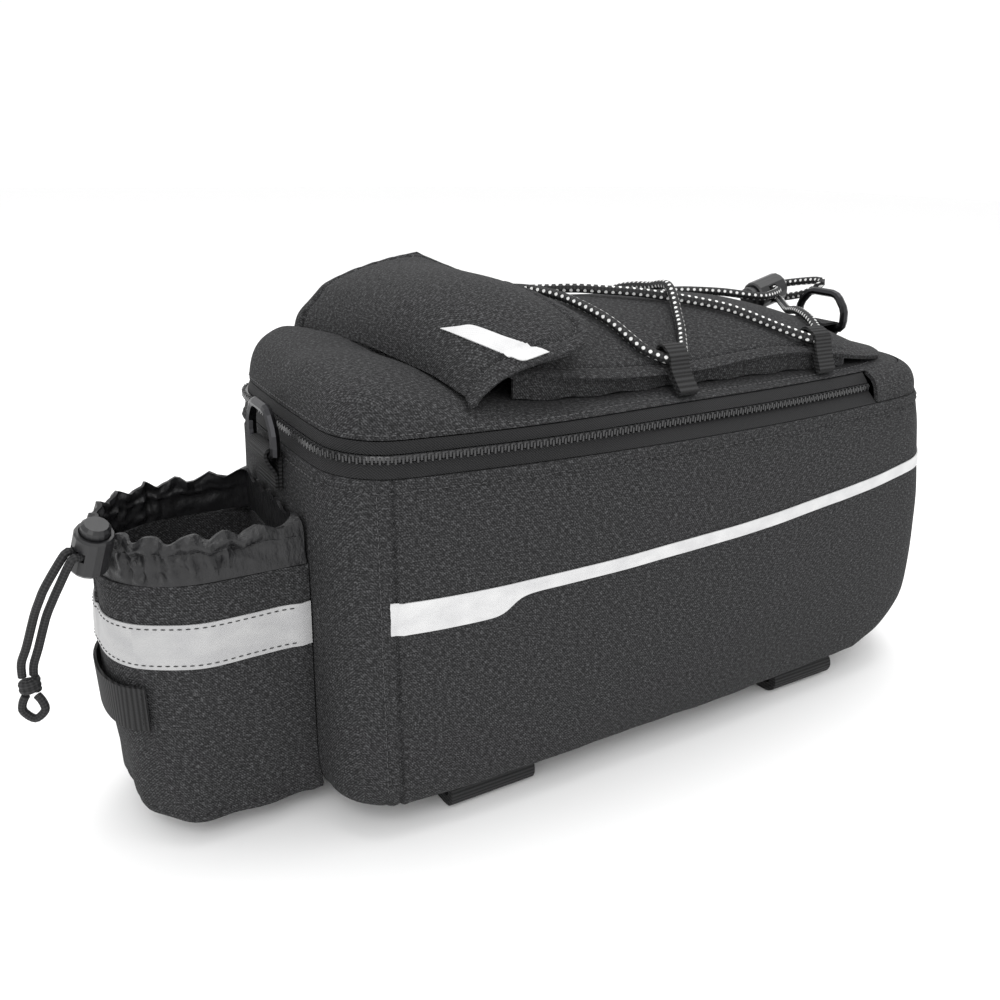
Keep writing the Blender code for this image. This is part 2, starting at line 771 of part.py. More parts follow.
def plan_ring(left, right, half, bow, end_bow, corner_left, corner_right, inset=0.0):
    """The tub's outline seen from above, a little in from its face: bowed sides and round corners.

    It starts at the near side's right end and runs round the left end to the far side and the right end.
    """
    left, right, half = left + inset, right - inset, half - inset
    corner_left, corner_right = max(corner_left - inset, 3.0), max(corner_right - inset, 3.0)
    middle, reach = (left + right) / 2, (right - left) / 2

    def side(x, sign):
        return sign * (half + bow * (1 - ((x - middle) / reach) ** 2))

    def end(y, x, sign):
        return x + sign * end_bow * (1 - (y / half) ** 2)

    low_x, high_x = left + corner_left, right - corner_right
    ring = []
    for k in range(SIDE_STEPS):
        x = mix(high_x, low_x, k / SIDE_STEPS)
        ring.append((x, side(x, -1)))
    ring += corner_arc(low_x, side(low_x, -1), end(-half + corner_left, left, -1), -half + corner_left)
    for k in range(END_STEPS):
        y = mix(-half + corner_left, half - corner_left, k / END_STEPS)
        ring.append((end(y, left, -1), y))
    ring += reversed_arc(low_x, side(low_x, 1), end(half - corner_left, left, -1), half - corner_left)
    for k in range(SIDE_STEPS):
        x = mix(low_x, high_x, k / SIDE_STEPS)
        ring.append((x, side(x, 1)))
    ring += corner_arc(high_x, side(high_x, 1), end(half - corner_right, right, 1), half - corner_right)
    for k in range(END_STEPS):
        y = mix(half - corner_right, -half + corner_right, k / END_STEPS)
        ring.append((end(y, right, 1), y))
    ring += reversed_arc(high_x, side(high_x, -1), end(-half + corner_right, right, 1), -half + corner_right)
    return ring


def corner_arc(x_side, y_side, x_end, y_end):
    """Quarter ellipse from a side's end to an end's start, without the last point."""
    return [
        (
            mix(x_side, x_end, math.sin(k / CORNER_STEPS * math.pi / 2)),
            mix(y_end, y_side, math.cos(k / CORNER_STEPS * math.pi / 2)),
        )
        for k in range(CORNER_STEPS)
    ]


def reversed_arc(x_side, y_side, x_end, y_end):
    """Quarter ellipse from an end's last point to a side's start, without the last point."""
    return [
        (
            mix(x_side, x_end, math.cos(k / CORNER_STEPS * math.pi / 2)),
            mix(y_end, y_side, math.sin(k / CORNER_STEPS * math.pi / 2)),
        )
        for k in range(CORNER_STEPS)
    ]


def ring_point(ring, place):
    """A point along a closed ring at a place counted in its points, which need not be a whole number."""
    size = len(ring)
    start = math.floor(place)
    return ring[start % size].lerp(ring[(start + 1) % size], place - start)


def tub_ring(height, inset=0.0):
    """The tub's outline at a height, as points."""
    left, right, half, bow = tub_level(height)
    ring = plan_ring(left, right, half, bow, TUB_END_BOW, TUB_CORNER_LEFT, TUB_CORNER_RIGHT, inset)
    return [Vector((x, y, height)) for x, y in ring]


def rim_ring(inset, height, inward=0.0):
    """A ring over the tub's rim at a height: its plan moved in by inset, which leans, and by inward."""
    leaning = min(inset, LID_RIM_INSET)
    rest = inset - leaning + inward
    left = tub_ring(TUB_HEIGHT, leaning * LEAN_LEFT + rest)
    right = tub_ring(TUB_HEIGHT, leaning * LEAN_RIGHT + rest)
    ring = []
    for here, there in zip(left, right):
        spot = here.lerp(there, smooth_step((here.x - LEAN_START_X) / LEAN_LENGTH))
        ring.append(Vector((spot.x, spot.y, height)))
    return ring


def build_tub(bag):
    outer = [tub_ring(level.height * TUB_HEIGHT) for level in reversed(TUB_LEVELS)]
    floor = TUB_WALL * 1.2
    heights = [TUB_HEIGHT * level.height for level in reversed(TUB_LEVELS[2:])] + [floor]
    inner = []
    for height in heights:
        ring = tub_ring(max(height - TUB_WALL, 0.0), TUB_WALL)
        inner.append([Vector((p.x, p.y, height)) for p in ring])
    bag.mesh("main_tub", *cup(outer, inner), "fabric")


def arch(rows, x, across):
    """The height over the zip of a table's arch, across being the share of its half width."""
    edge = between(rows, "x", x, "near" if across < 0 else "far")
    ridge = between(rows, "x", x, "ridge")
    square = between(rows, "x", x, "square")
    return edge + (ridge - edge) * (1.0 - min(abs(across), 1.0) ** square)


def lid_height(x, y):
    return ZIP_TOP + arch(LID_SECTIONS, x, y / LID_ARCH_HALF)


def build_lid(bag):
    rim = ZIP_TOP + LID_LIFT
    outer = []
    for step in LID_RIM:
        ring = rim_ring(LID_RIM_INSET + step.inset, rim)
        outer.append([Vector((p.x, p.y, mix(rim, lid_height(p.x, p.y), step.rise))) for p in ring])
    inner = []
    for step in LID_LINING:
        line = []
        for p in rim_ring(LID_RIM_INSET + LID_WALL + step.inset, rim):
            top = lid_height(p.x, p.y)
            low = max(top - LID_WALL, mix(rim, top, 0.35))
            line.append(Vector((p.x, p.y, mix(rim, low, step.rise))))
        inner.append(line)
    rings = list(reversed(outer)) + inner
    points = [p for ring in rings for p in ring]
    faces = joined_rings(rings)
    faces += closing_ladder(0)
    faces += closing_ladder((len(rings) - 1) * RING_SIZE)
    bag.mesh("lid", points, faces, "fabric")


def closing_ladder(start):
    """Faces that close a long ring: quads between its two sides and one face at each end."""
    faces = []
    for k in range(SIDE_STEPS):
        across = RING_FAR + SIDE_STEPS - k
        faces.append((k, k + 1, across - 1, across))
    faces.append(tuple(range(SIDE_STEPS, RING_FAR + 1)))
    faces.append(tuple(range(RING_FAR + SIDE_STEPS, RING_SIZE)) + (0,))
    return [tuple(start + spot for spot in face) for face in faces]


def rim_strip(bag, name, profile, first, last, finish):
    """A strip along the rim between two places of its ring; profile holds (inset, inward, height)."""
    places = [first] + list(range(math.floor(first) + 1, math.ceil(last))) + [last]
    rings = [rim_ring(inset, height, inward) for inset, inward, height in profile]
    stations = [[ring_point(ring, place) for ring in rings] for place in places]
    bag.mesh(name, *swept(stations), finish)


def swept(stations):
    """A closed rod whose cross-sections are the given outlines, one after the other."""
    size = len(stations[0])
    points = [p for outline in stations for p in outline]
    faces = joined_rings(stations)
    faces.append(tuple(range(size)))
    faces.append(tuple(range((len(stations) - 1) * size, len(stations) * size)))
    return points, faces


def build_zip(bag):
    """The zip's two tapes and its coil round the lid's opening, and the gusset that hinges the lid."""
    far_end = RING_FAR + SIDE_STEPS - ZIP_END_STEP
    first, last = ZIP_END_STEP + ZIP_END_GAP, far_end - ZIP_END_GAP
    low, high = TUB_HEIGHT + SEAM_GAP, ZIP_TOP - SEAM_GAP
    teeth = TUB_HEIGHT + ZIP_BAND * TEETH_SHARE
    reach = COIL_HALF_HEIGHT + SEAM_GAP
    lower = (
        (TAPE_OUTER_INSET, 0.0, low),
        (COIL_INSET, -COIL_HALF_DEPTH / 2, teeth - reach),
        (COIL_INSET, TAPE_THICKNESS - COIL_HALF_DEPTH / 2, teeth - reach),
        (TAPE_OUTER_INSET, TAPE_THICKNESS, low),
    )
    rim_strip(bag, "zip_tape_lower", lower, first, last, "zip_tape")
    upper = (
        (COIL_INSET, 0.0, teeth + reach),
        (LID_RIM_INSET, 0.2, high),
        (LID_RIM_INSET, 0.2 + TAPE_THICKNESS, high),
        (COIL_INSET, TAPE_THICKNESS, teeth + reach),
    )
    rim_strip(bag, "zip_tape_upper", upper, first, last, "zip_tape")
    coil = []
    for k in range(6):
        angle = math.pi / 3 * k
        rise = COIL_HALF_HEIGHT * math.sin(angle) / math.sin(math.pi / 3)
        coil.append((COIL_INSET, COIL_HALF_DEPTH * math.cos(angle), teeth + rise))
    rim_strip(bag, "zip_coil", coil, first, last, "zip_coil")
    outer = []
    lining = []
    for spot in HINGE_SECTION:
        inset, height = spot.inset * LID_RIM_INSET, mix(low, ZIP_TOP, spot.up)
        outer.append((inset, 0.0, height))
        lining.append((inset, HINGE_WALL * spot.inward, height - HINGE_WALL * spot.drop))
    outline = outer + list(reversed(lining))
    start, end = far_end + ZIP_END_GAP, RING_SIZE + ZIP_END_STEP - ZIP_END_GAP
    rim_strip(bag, "hinge_gusset", outline, start, end, "fabric")
    build_slider(bag, teeth)


def build_slider(bag, teeth):
    """The zip's slider and its webbing pull, on the far side."""
    coil = bag.surfaces["zip_coil"].beside((SLIDER_X, TUB_HALF_WIDTH * 3, teeth), (0, -1, 0)).y
    wall = bag.surfaces["main_tub"].beside((SLIDER_X, TUB_HALF_WIDTH * 3, TUB_HEIGHT * 0.97), (0, -1, 0)).y
    depth = SLIDER_SIZE[1]
    inner = coil + SEAM_GAP * 2
    bag.mesh("zip_slider", *box(SLIDER_SIZE, (SLIDER_X, inner + depth / 2, teeth)), "metal")
    away = max(inner + depth, wall) + SEAM_GAP * 1.5 + PULL_SIZE[1] / 2
    height = teeth + SLIDER_SIZE[2] / 2 - PULL_SIZE[2] / 2
    bag.mesh("zip_pull", *box(PULL_SIZE, (SLIDER_X, away, height)), "webbing")


class Surface:
    """The faces of a made piece, to lay other pieces on."""

    def __init__(self, points, faces):
        self.tree = BVHTree.FromPolygons([Vector(p) for p in points], faces)

    def under(self, x, y, start=400.0):
        """The height of the first face met from above."""
        spot = self.tree.ray_cast(Vector((x, y, start)), Vector((0, 0, -1)))[0]
        return spot.z if spot else None

    def over(self, x, y, start):
        """The height of the first face met going up from start."""
        spot = self.tree.ray_cast(Vector((x, y, start)), Vector((0, 0, 1)))[0]
        return spot.z if spot else None

    def beside(self, start, way):
        """The first point met from start along way."""
        return self.tree.ray_cast(Vector(start), Vector(way))[0]


def panel_half(x):
    return POCKET_HALF_WIDTH * between(PANEL_PLAN, "x", x, "half")


def build_panel(bag):
    stations = [mix(POCKET_MOUTH_X, POCKET_END_X, share) for share in PANEL_STATIONS]
    grid = []
    for x in stations:
        half = panel_half(x)
        line = []
        for step in PANEL_ACROSS:
            line.append(Vector((x, half * step, ZIP_TOP + arch(PANEL_SECTIONS, x, step))))
        grid.append(line)
    bag.mesh("pocket_panel", *slab(grid, -POCKET_PANEL_WALL), "fabric")


def build_panel_gussets(bag):
    lid, panel = bag.surfaces["lid"], bag.surfaces["pocket_panel"]
    stations = [mix(POCKET_MOUTH_X, POCKET_END_X, share) for share in PANEL_STATIONS]
    stations[0] += GUSSET_WALL
    for name, side in (("pocket_gusset_near", -1), ("pocket_gusset_far", 1)):
        outline = []
        for x in stations[:GUSSET_STATIONS]:
            outer = side * (panel_half(x) - EAVE_OVERHANG)
            inner = outer - side * GUSSET_WALL
            low = max(lid.under(x, outer), lid.under(x, inner)) + SEAM_GAP
            high = min(panel.over(x, outer, low), panel.over(x, inner, low)) - SEAM_GAP
            outline.append(
                [
                    Vector((x, outer, low)),
                    Vector((x, outer, high)),
                    Vector((x, inner, high)),
                    Vector((x, inner, low)),
                ]
            )
        bag.mesh(name, *swept(outline), "fabric")


def flap_edge(across):
    """How far the flap reaches along the bag at a share of its half width, with rounded corners."""
    past = (abs(across) * FLAP_HALF_WIDTH - (FLAP_HALF_WIDTH - FLAP_CORNER)) / FLAP_CORNER
    return FLAP_EDGE_X - FLAP_CORNER * (1.0 - math.sqrt(1.0 - min(max(past, 0.0), 1.0) ** 2))


def build_flap(bag):
    lid = bag.surfaces["lid"]
    grid = []
    for share in FLAP_STATIONS:
        line = []
        for across in FLAP_ACROSS:
            x = mix(FLAP_ROOT_X, flap_edge(across), share)
            y = FLAP_HALF_WIDTH * across
            height = ZIP_TOP + arch(FLAP_SECTIONS, x, across)
            x -= FLAP_SKEW * (1.0 + across) / 2 * (1.0 - share)
            if share == 0.0:
                height = max(lid.under(x, y * inward) for inward in (1.0, 0.94, 0.88)) + SEAM_GAP * 3.0
            line.append(Vector((x, y, height)))
        grid.append(line)
    bag.mesh("flap", *slab(grid, -FLAP_WALL), "fabric")


def build_patch(bag):
    """The reflective patch, laid on the flap along PATCH_WAY, its grid following the flap's surface."""
    flap, way = bag.surfaces["flap"], Vector(PATCH_WAY).normalized()
    first, second, third, fourth = (Vector(corner) for corner in PATCH_CORNERS)
    grid = []
    for k in range(PATCH_STEPS + 1):
        share = k / PATCH_STEPS
        line = []
        for over in (0.0, 0.33, 0.67, 1.0):
            spot = first.lerp(second, over).lerp(fourth.lerp(third, over), share)
            line.append(flap.beside(spot - way * FLAP_HALF_WIDTH, way) - way * PATCH_GAP)
        grid.append(line)
    out = TRIM_WALL if grid_normals(grid)[0][0].dot(way) < 0 else -TRIM_WALL
    bag.mesh("flap_patch", *slab(grid, out), "reflective")


def build_stripes(bag):
    """The reflective stripe with its label on each side, laid on the tub's own facets."""
    near = []
    for row in STRIPE_ROWS:
        top = row.top * TUB_HEIGHT
        line = []
        for height in (top - row.depth * STRIPE_LABEL_HEIGHT, top):
            line.append(ring_point(tub_ring(height, -SEAM_GAP), row.place))
        near.append(line)
    for name, side in (("side_stripe_near", 1), ("side_stripe_far", -1)):
        grid = [[Vector((p.x, p.y * side, p.z)) for p in line] for line in near]
        middle = grid_normals(grid)[len(grid) // 2][0]
        out = TRIM_WALL if middle.y * side < 0 else -TRIM_WALL
        bag.mesh(name, *slab(grid, out), "reflective")


def highest(surface, x, y):
    """The surface's height under a webbing loop: the highest across the loop's width."""
    return max(surface.under(x + LOOP_WIDTH * share, y) for share in (-0.5, 0.0, 0.5))


def build_loops(bag):
    """The webbing loops, and the bungee cord's turning point in each one."""
    lid, panel = bag.surfaces["lid"], bag.surfaces["pocket_panel"]
    turns = {}
    layer = WEBBING_WALL / 2
    eye = BUNGEE_RADIUS + SEAM_GAP + layer
    fold = WEBBING_WALL + SEAM_GAP
    for loop in WEBBING_LOOPS:
        y = loop.side * LOOP_TURN_Y
        inner_y = y - loop.side * 3.0
        spot = Vector((loop.x, y, highest(panel, loop.x, y)))
        along = (Vector((loop.x, inner_y, highest(panel, loop.x, inner_y))) - spot).normalized()
        out = Vector((0.0, loop.side * along.z, abs(along.y)))
        turn = spot + out * (SEAM_GAP + WEBBING_WALL + SEAM_GAP + BUNGEE_RADIUS)
        turns[loop.name] = turn
        eave_y = loop.side * panel_half(loop.x)
        eave = Vector((loop.x, eave_y, highest(panel, loop.x, eave_y - loop.side * 0.2)))
        over = eave + out * (SEAM_GAP + layer + 0.35)
        wall = lid.beside((loop.x, loop.side * TUB_HALF_WIDTH * 3, ZIP_TOP + LID_LIFT * 3), (0, -loop.side, 0))
        foot_y = wall.y - loop.side * LOOP_FOOT_INSET
        foot = Vector((loop.x, foot_y, lid.under(loop.x, foot_y) + SEAM_GAP * 2 + layer))
        tip = turn + along * LOOP_EYE
        path = [foot, over, turn - out * eye]
        for angle in (0.0, 0.6, 1.2, 1.9, 2.5, math.pi):
            path.append(tip + along * eye * math.sin(angle) - out * eye * math.cos(angle))
        path += [turn + out * eye, turn + out * eye * 0.74 - along * eye * 0.68]
        path += [over + out * fold * 1.15, foot + out * fold]
        bag.mesh(loop.name, *band(path, (1, 0, 0), LOOP_WIDTH, WEBBING_WALL), "webbing")
    return turns


class LockSize:
    """The sizes of a cord lock for one cord, all from the cord's radius."""

    def __init__(self, cord_radius):
        self.offset = cord_radius + SEAM_GAP
        self.across = 4 * cord_radius + 4 * SEAM_GAP
        self.along = 2 * cord_radius + 2 * SEAM_GAP
        self.plunger_radius = self.across / 2 + LOCK_WALL
        self.bore_radius = self.plunger_radius + SEAM_GAP
        self.barrel_radius = self.bore_radius + LOCK_WALL
        self.travel = self.along * LOCK_TRAVEL
        self.proud = self.travel + 1.0
        self.lead = 3.0 + self.travel
        self.web = 2.0
        self.plunger_end = self.lead + self.along + self.web
        self.bore_depth = self.plunger_end + self.travel + SEAM_GAP
        self.length = self.bore_depth + 2.4


def build_lock(bag, prefix, size, centre, axis, way):
    """A cord lock: a barrel with a cross slot and a sprung plunger, pushed in along axis."""
    forward = Vector(axis).normalized()
    across = forward.cross(Vector(way)).normalized()
    if across.z < 0:
        across = -across
    start = Vector(centre) - forward * (size.lead + size.along / 2)
    barrel = [
        (0.0, size.barrel_radius * 0.93),
        (1.0, size.barrel_radius),
        (size.length - 1.5, size.barrel_radius),
        (size.length, size.barrel_radius * 0.86),
    ]
    plunger = [
        (-size.proud, size.plunger_radius * 0.80),
        (-size.proud + 1.2, size.plunger_radius),
        (size.plunger_end, size.plunger_radius),
    ]
    body = bag.mesh(f"{prefix}_barrel", *turned(barrel, forward, start, LOCK_SIDES), "plastic")
    bore = [(-3.0, size.bore_radius), (size.bore_depth, size.bore_radius)]
    cutter = bag.mesh(
        f"{prefix}_bore_cutter", *turned(bore, forward, start, LOCK_SIDES), None, hidden=True
    )
    cut(body, cutter)
    frame = (forward, Vector(way).normalized(), across)
    reach = size.barrel_radius * 3
    slot = turned_box((size.along, reach, size.across), centre, frame)
    cut(body, bag.mesh(f"{prefix}_slot_cutter", *slot, None, hidden=True))
    button = bag.mesh(
        f"{prefix}_plunger", *turned(plunger, forward, start, LOCK_SIDES), "plastic", origin=start
    )
    span = size.along + size.travel
    middle = Vector(centre) - forward * size.travel / 2
    slot = turned_box((span, reach, size.across), middle, frame)
    cut(button, bag.mesh(f"{prefix}_plunger_cutter", *slot, None, hidden=True))
    return across


def turned_box(size, at, frame):
    """A box whose sides lie along the three directions of frame."""
    points, faces = box(size, (0.0, 0.0, 0.0))
    placed = [Vector(at) + frame[0] * p[0] + frame[1] * p[1] + frame[2] * p[2] for p in points]
    return placed, faces


def cut(obj, cutter):
    step = obj.modifiers.new("cut", "BOOLEAN")
    step.operation = "DIFFERENCE"
    step.solver = "EXACT"
    step.object = cutter


def ring_and_tab(bag, end, foot, tail):
    """A D-ring whose bar turns in a folded webbing tab; foot and tail lie on the surface under it."""
    along = (tail - foot).normalized()
    out = along.cross(Vector((0, 1, 0)))
    if out.x > 0 or out.z < -0.5:
        out = -out
    if along.x < -0.5 and out.z < 0:
        out = -out
    layer = WEBBING_WALL / 2
    eye = RING_ROD + SEAM_GAP + layer
    bar = foot + out * (SEAM_GAP * 1.5 + layer + eye)
    length = (tail - foot).length
    path = [bar + along * length * share - out * eye for share in (1.0, 0.6, 0.2)]
    for angle in (0.0, 0.5, 1.05, 1.57, 2.1, 2.64, math.pi):
        path.append(bar - along * eye * math.sin(angle) - out * eye * math.cos(angle))
    path.append(bar + along * eye * 0.9 + out * eye * 0.72)
    for share in (0.55, 0.8, 1.0):
        path.append(bar + along * length * share + out * (WEBBING_WALL + SEAM_GAP - eye))
    bag.mesh(f"d_ring_tab_{end}", *band(path, (0, 1, 0), RING_TAB_WIDTH, WEBBING_WALL), "webbing")
    half = RING_WIDTH / 2 - RING_ROD
    high = RING_HEIGHT - 2 * RING_ROD
    outline = [Vector((0.0, half * spot.across, high * spot.up)) for spot in RING_OUTLINE]
    outline += [Vector((0.0, -p.y, p.z)) for p in reversed(outline) if p.y > 0]
    points = [bar + p for p in outline]
    bag.tube(f"d_ring_{end}", points, RING_ROD, "metal", closed=True, origin=bar)


def build_rings(bag):
    panel, tub = bag.surfaces["pocket_panel"], bag.surfaces["main_tub"]
    foot = Vector((RING_X, RING_Y, panel.under(RING_X, RING_Y)))
    tail_x = RING_X - RING_TAIL
    ring_and_tab(bag, "hinge_end", foot, Vector((tail_x, RING_Y, panel.under(tail_x, RING_Y))))
    outside = -TUB_LEFT * 2
    foot = tub.beside((outside, 0.0, END_RING_Z), (1, 0, 0))
    ring_and_tab(bag, "pocket_end", foot, tub.beside((outside, 0.0, END_RING_Z - END_RING_TAIL), (1, 0, 0)))


def build_bungee(bag, turns):
    """The bungee cord, one closed length laced through the loops and the lock."""
    panel = bag.surfaces["pocket_panel"]
    size = LockSize(BUNGEE_RADIUS)
    tilt = math.radians(BUNGEE_LOCK_TILT)
    axis = Vector((math.cos(tilt), 0.0, math.sin(tilt)))
    button = axis * (size.proud + size.lead + size.along / 2)
    rest = panel.under(BUNGEE_LOCK_X - button.x, BUNGEE_LOCK_Y - size.plunger_radius / 2)
    height = rest + size.plunger_radius + SEAM_GAP + button.z
    centre = Vector((BUNGEE_LOCK_X, BUNGEE_LOCK_Y, height))
    across = build_lock(bag, "bungee_lock", size, centre, axis, Vector((0, 1, 0)))
    rise = BUNGEE_RADIUS + SEAM_GAP * 2.0
    route = []
    for spot in BUNGEE_ROUTE:
        if spot.loop:
            route.append(turns[spot.loop] + Vector((spot.x, spot.y, spot.lift)))
        elif spot.layer:
            place = centre + across * size.offset * spot.layer
            route.append(place + Vector((spot.x, spot.y, spot.lift)))
        else:
            route.append(Vector((spot.x, spot.y, panel.under(spot.x, spot.y) + rise + spot.lift)))
    points = smooth_route(route, BUNGEE_STEP, closed=True)
    for point in points:
        base = panel.under(point.x, point.y)
        if base is not None:
            point.z = max(point.z, base + rise)
    bag.tube("bungee_cord", points, BUNGEE_RADIUS, "cord", closed=True)


def tub_end(y, z):
    """Where the tub's pocket end wall lies at a height and place across."""
    left, _, half, _ = tub_level(min(max(z, 0.0), TUB_HEIGHT))
    return left - TUB_END_BOW * (1 - (y / half) ** 2)


def pocket_ring(height, inset=0.0, away=0.0, steps=24):
    """The bottle pocket's outline at a height: its back along the end wall, then its round front.

    away moves only the front and sides outward. The back's near corner comes first.
    """
    share = (height - POCKET_FLOOR) / (POCKET_HEIGHT - POCKET_FLOOR)
    reach = POCKET_RADIUS * between(POCKET_LEVELS, "height", share, "reach") - inset + away
    half = POCKET_RADIUS * between(POCKET_LEVELS, "height", share, "half_width") - inset + away
    power = 2.0 / between(POCKET_LEVELS, "height", share, "square")
    ring = []
    for y in (-half, half):
        back = tub_end(y, height) - SEAM_GAP * 1.3 - inset
        middle = (back + BOTTLE_AXIS_X) / 2
        side = [Vector((back, y, height)), Vector((middle, y, height))]
        ring.append(side)
    front = []
    for k in range(steps + 1):
        angle = mix(-math.pi / 2, math.pi / 2, k / steps)
        out, over = abs(math.cos(angle)) ** power, abs(math.sin(angle)) ** power
        front.append(Vector((BOTTLE_AXIS_X - reach * out, math.copysign(half * over, angle), height)))
    back = []
    for share_y in (0.6, 0.2, -0.2, -0.6):
        y = half * share_y
        back.append(Vector((tub_end(y, height) - SEAM_GAP * 1.3 - inset, y, height)))
    return ring[0] + front + list(reversed(ring[1])) + back


def pocket_height(share):
    return mix(POCKET_FLOOR, POCKET_HEIGHT, share)


def build_bottle_pocket(bag):
    outer = [pocket_ring(pocket_height(level.height)) for level in reversed(POCKET_LEVELS)]
    inner = [pocket_ring(pocket_height(level.height), POCKET_WALL) for level in reversed(POCKET_LEVELS[2:])]
    floor = POCKET_FLOOR + POCKET_WALL
    inner.append([Vector((p.x, p.y, floor)) for p in pocket_ring(floor, POCKET_WALL * 1.3)])
    bag.mesh("bottle_pocket", *cup(outer, inner), "fabric")
    rim = POCKET_HEIGHT + SEAM_GAP
    outer = []
    inner = []
    for share, gather in ((0.0, 0.3), (0.35, 0.9), (0.8, 0.5), (1.0, 1.4)):
        height = mix(rim, rim + COLLAR_HEIGHT, share)
        line = pocket_ring(POCKET_HEIGHT, gather)
        outer.append([Vector((p.x, p.y, height)) for p in line])
        line = pocket_ring(POCKET_HEIGHT, gather + COLLAR_WALL)
        inner.append([Vector((p.x, p.y, height)) for p in line])
    bag.mesh("pocket_collar", *sleeve(outer, inner), "nylon")
    grid = []
    for height in (POCKET_BAND_LOW, POCKET_BAND_LOW + POCKET_BAND_HEIGHT):
        grid.append(pocket_ring(height, 0.0, SEAM_GAP)[:-4])
    bag.mesh("pocket_band", *slab(list(zip(*grid)), -TRIM_WALL), "reflective")
    build_light_loop(bag)


def build_light_loop(bag):
    """The loop for a clip-on light: webbing sewn at both ends that stands off the pocket's front."""
    low = pocket_ring(LIGHT_LOOP_LOW, 0.0, SEAM_GAP, 72)
    high = pocket_ring(LIGHT_LOOP_LOW + LIGHT_LOOP_HEIGHT, 0.0, SEAM_GAP, 72)
    first = 2 + round((90.0 - LIGHT_LOOP_HALF_ANGLE) / 180.0 * 72)
    last = 2 + round((90.0 + LIGHT_LOOP_HALF_ANGLE) / 180.0 * 72)
    grid = []
    for k in range(first, last + 1, 3):
        share = (k - first) / (last - first)
        stand = LIGHT_LOOP_BULGE * smooth_step(min(share, 1.0 - share) * 6.0)
        line = []
        for ring in (low, high):
            away = Vector((ring[k].x - BOTTLE_AXIS_X, ring[k].y, 0.0)).normalized()
            line.append(ring[k] + away * stand)
        grid.append(line)
    bag.mesh("light_loop", *slab(grid, -WEBBING_WALL), "webbing")


def build_drawcord(bag):
    """The pocket's drawcord: two strands out of the collar, through a cord lock, down to a knot."""
    size = LockSize(DRAWCORD_RADIUS)
    axis = Vector(DRAWCORD_LOCK_AXIS).normalized()
    way = Vector((0, 0, 1)).cross(axis).normalized()
    centre = Vector(DRAWCORD_LOCK_PLACE)
    across = build_lock(bag, "drawcord_lock", size, centre, axis, way)
    knot = Vector(DRAWCORD_KNOT)
    for name, layer in (("drawcord_upper", 1), ("drawcord_lower", -1)):
        middle = centre + across * size.offset * layer
        start = bag.surfaces["pocket_collar"].beside(middle, -way) + way * SEAM_GAP * 2
        route = [start, middle]
        route += [middle + way * (size.barrel_radius + past) for past in (0.0, 2.5)]
        for spot in DRAWCORD_ROUTE:
            aside = Vector((-1.0, 0.0, 0.4)) * spot.spread * layer
            route.append(Vector((spot.x, spot.y, spot.z)) + aside)
        route.append(knot + Vector((-layer * size.offset, 0.0, KNOT_RADIUS + SEAM_GAP)))
        bag.tube(name, smooth_route(route, DRAWCORD_STEP), DRAWCORD_RADIUS, "cord")
    profile = []
    for k in range(7):
        angle = mix(-1.32, 1.32, k / 6)
        profile.append((KNOT_RADIUS * math.sin(angle), KNOT_RADIUS * math.cos(angle)))
    bag.mesh("drawcord_knot", *turned(profile, (0, 0, 1), knot, 10), "cord")
    tail = [knot + Vector((aside * 0.9, -aside * 0.4, -down)) for aside, down in DRAWCORD_TAIL]
    bag.tube("drawcord_loop", smooth_route(tail, DRAWCORD_STEP), DRAWCORD_RADIUS, "cord")


def build_straps(bag):
    """The four rolled ends of the two rack straps that the bag rests on."""
    outer = (STRAP_ROLL_HEIGHT - STRAP_WALL) / 2
    inner = outer - STRAP_WALL - SEAM_GAP
    straight = STRAP_ROLL_DEPTH / 2 - outer - STRAP_WALL / 2
    section = [(-straight, -outer)]
    for flip, start, end in ((1, outer, outer), (-1, outer, inner), (1, inner, inner)):
        for k in range(STRAP_STEPS + 1):
            swing = math.pi * k / STRAP_STEPS
            radius = mix(start, end, k / STRAP_STEPS)
            section.append((flip * (straight + radius * math.sin(swing)), -flip * radius * math.cos(swing)))
    section.append((-straight * 0.8, inner))
    middle_z = -SEAM_GAP - STRAP_ROLL_HEIGHT / 2
    for place, x in (("front", STRAP_FRONT_X), ("rear", STRAP_REAR_X)):
        for name, side in (("near", -1), ("far", 1)):
            middle_y = side * (STRAP_EDGE_Y - STRAP_ROLL_DEPTH / 2)
            path = [Vector((x, middle_y + side * y, middle_z + z)) for y, z in section]
            strip = band(path, (1, 0, 0), STRAP_WIDTH, STRAP_WALL)
            bag.mesh(f"strap_roll_{place}_{name}", *strip, "webbing")


def main():
    clear_scene()
    bag = Assembly()
    build_tub(bag)
    build_lid(bag)
    build_zip(bag)
    build_panel(bag)
    build_panel_gussets(bag)
    build_flap(bag)
    build_patch(bag)
    build_stripes(bag)
    turns = build_loops(bag)
    build_bungee(bag, turns)
    build_rings(bag)
    build_bottle_pocket(bag)
    build_drawcord(bag)
    build_straps(bag)
    bag.settle()


if __name__ == "__main__":
    main()
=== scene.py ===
"""Dresses the bicycle trunk bag: woven cloth, seams, stitches, zip teeth, webbing, cords and studio.

The CAD model is the frame. Each soft solid is copied, welded, smoothed and worked into cloth here, and
the hard parts keep their own meshes and get a finish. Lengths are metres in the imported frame.
"""

import json
import logging
import math
from collections.abc import Callable, Iterable, Sequence
from dataclasses import dataclass
from enum import Enum

import bmesh
import bpy
from mathutils import Matrix, Vector, noise
from mathutils.bvhtree import BVHTree

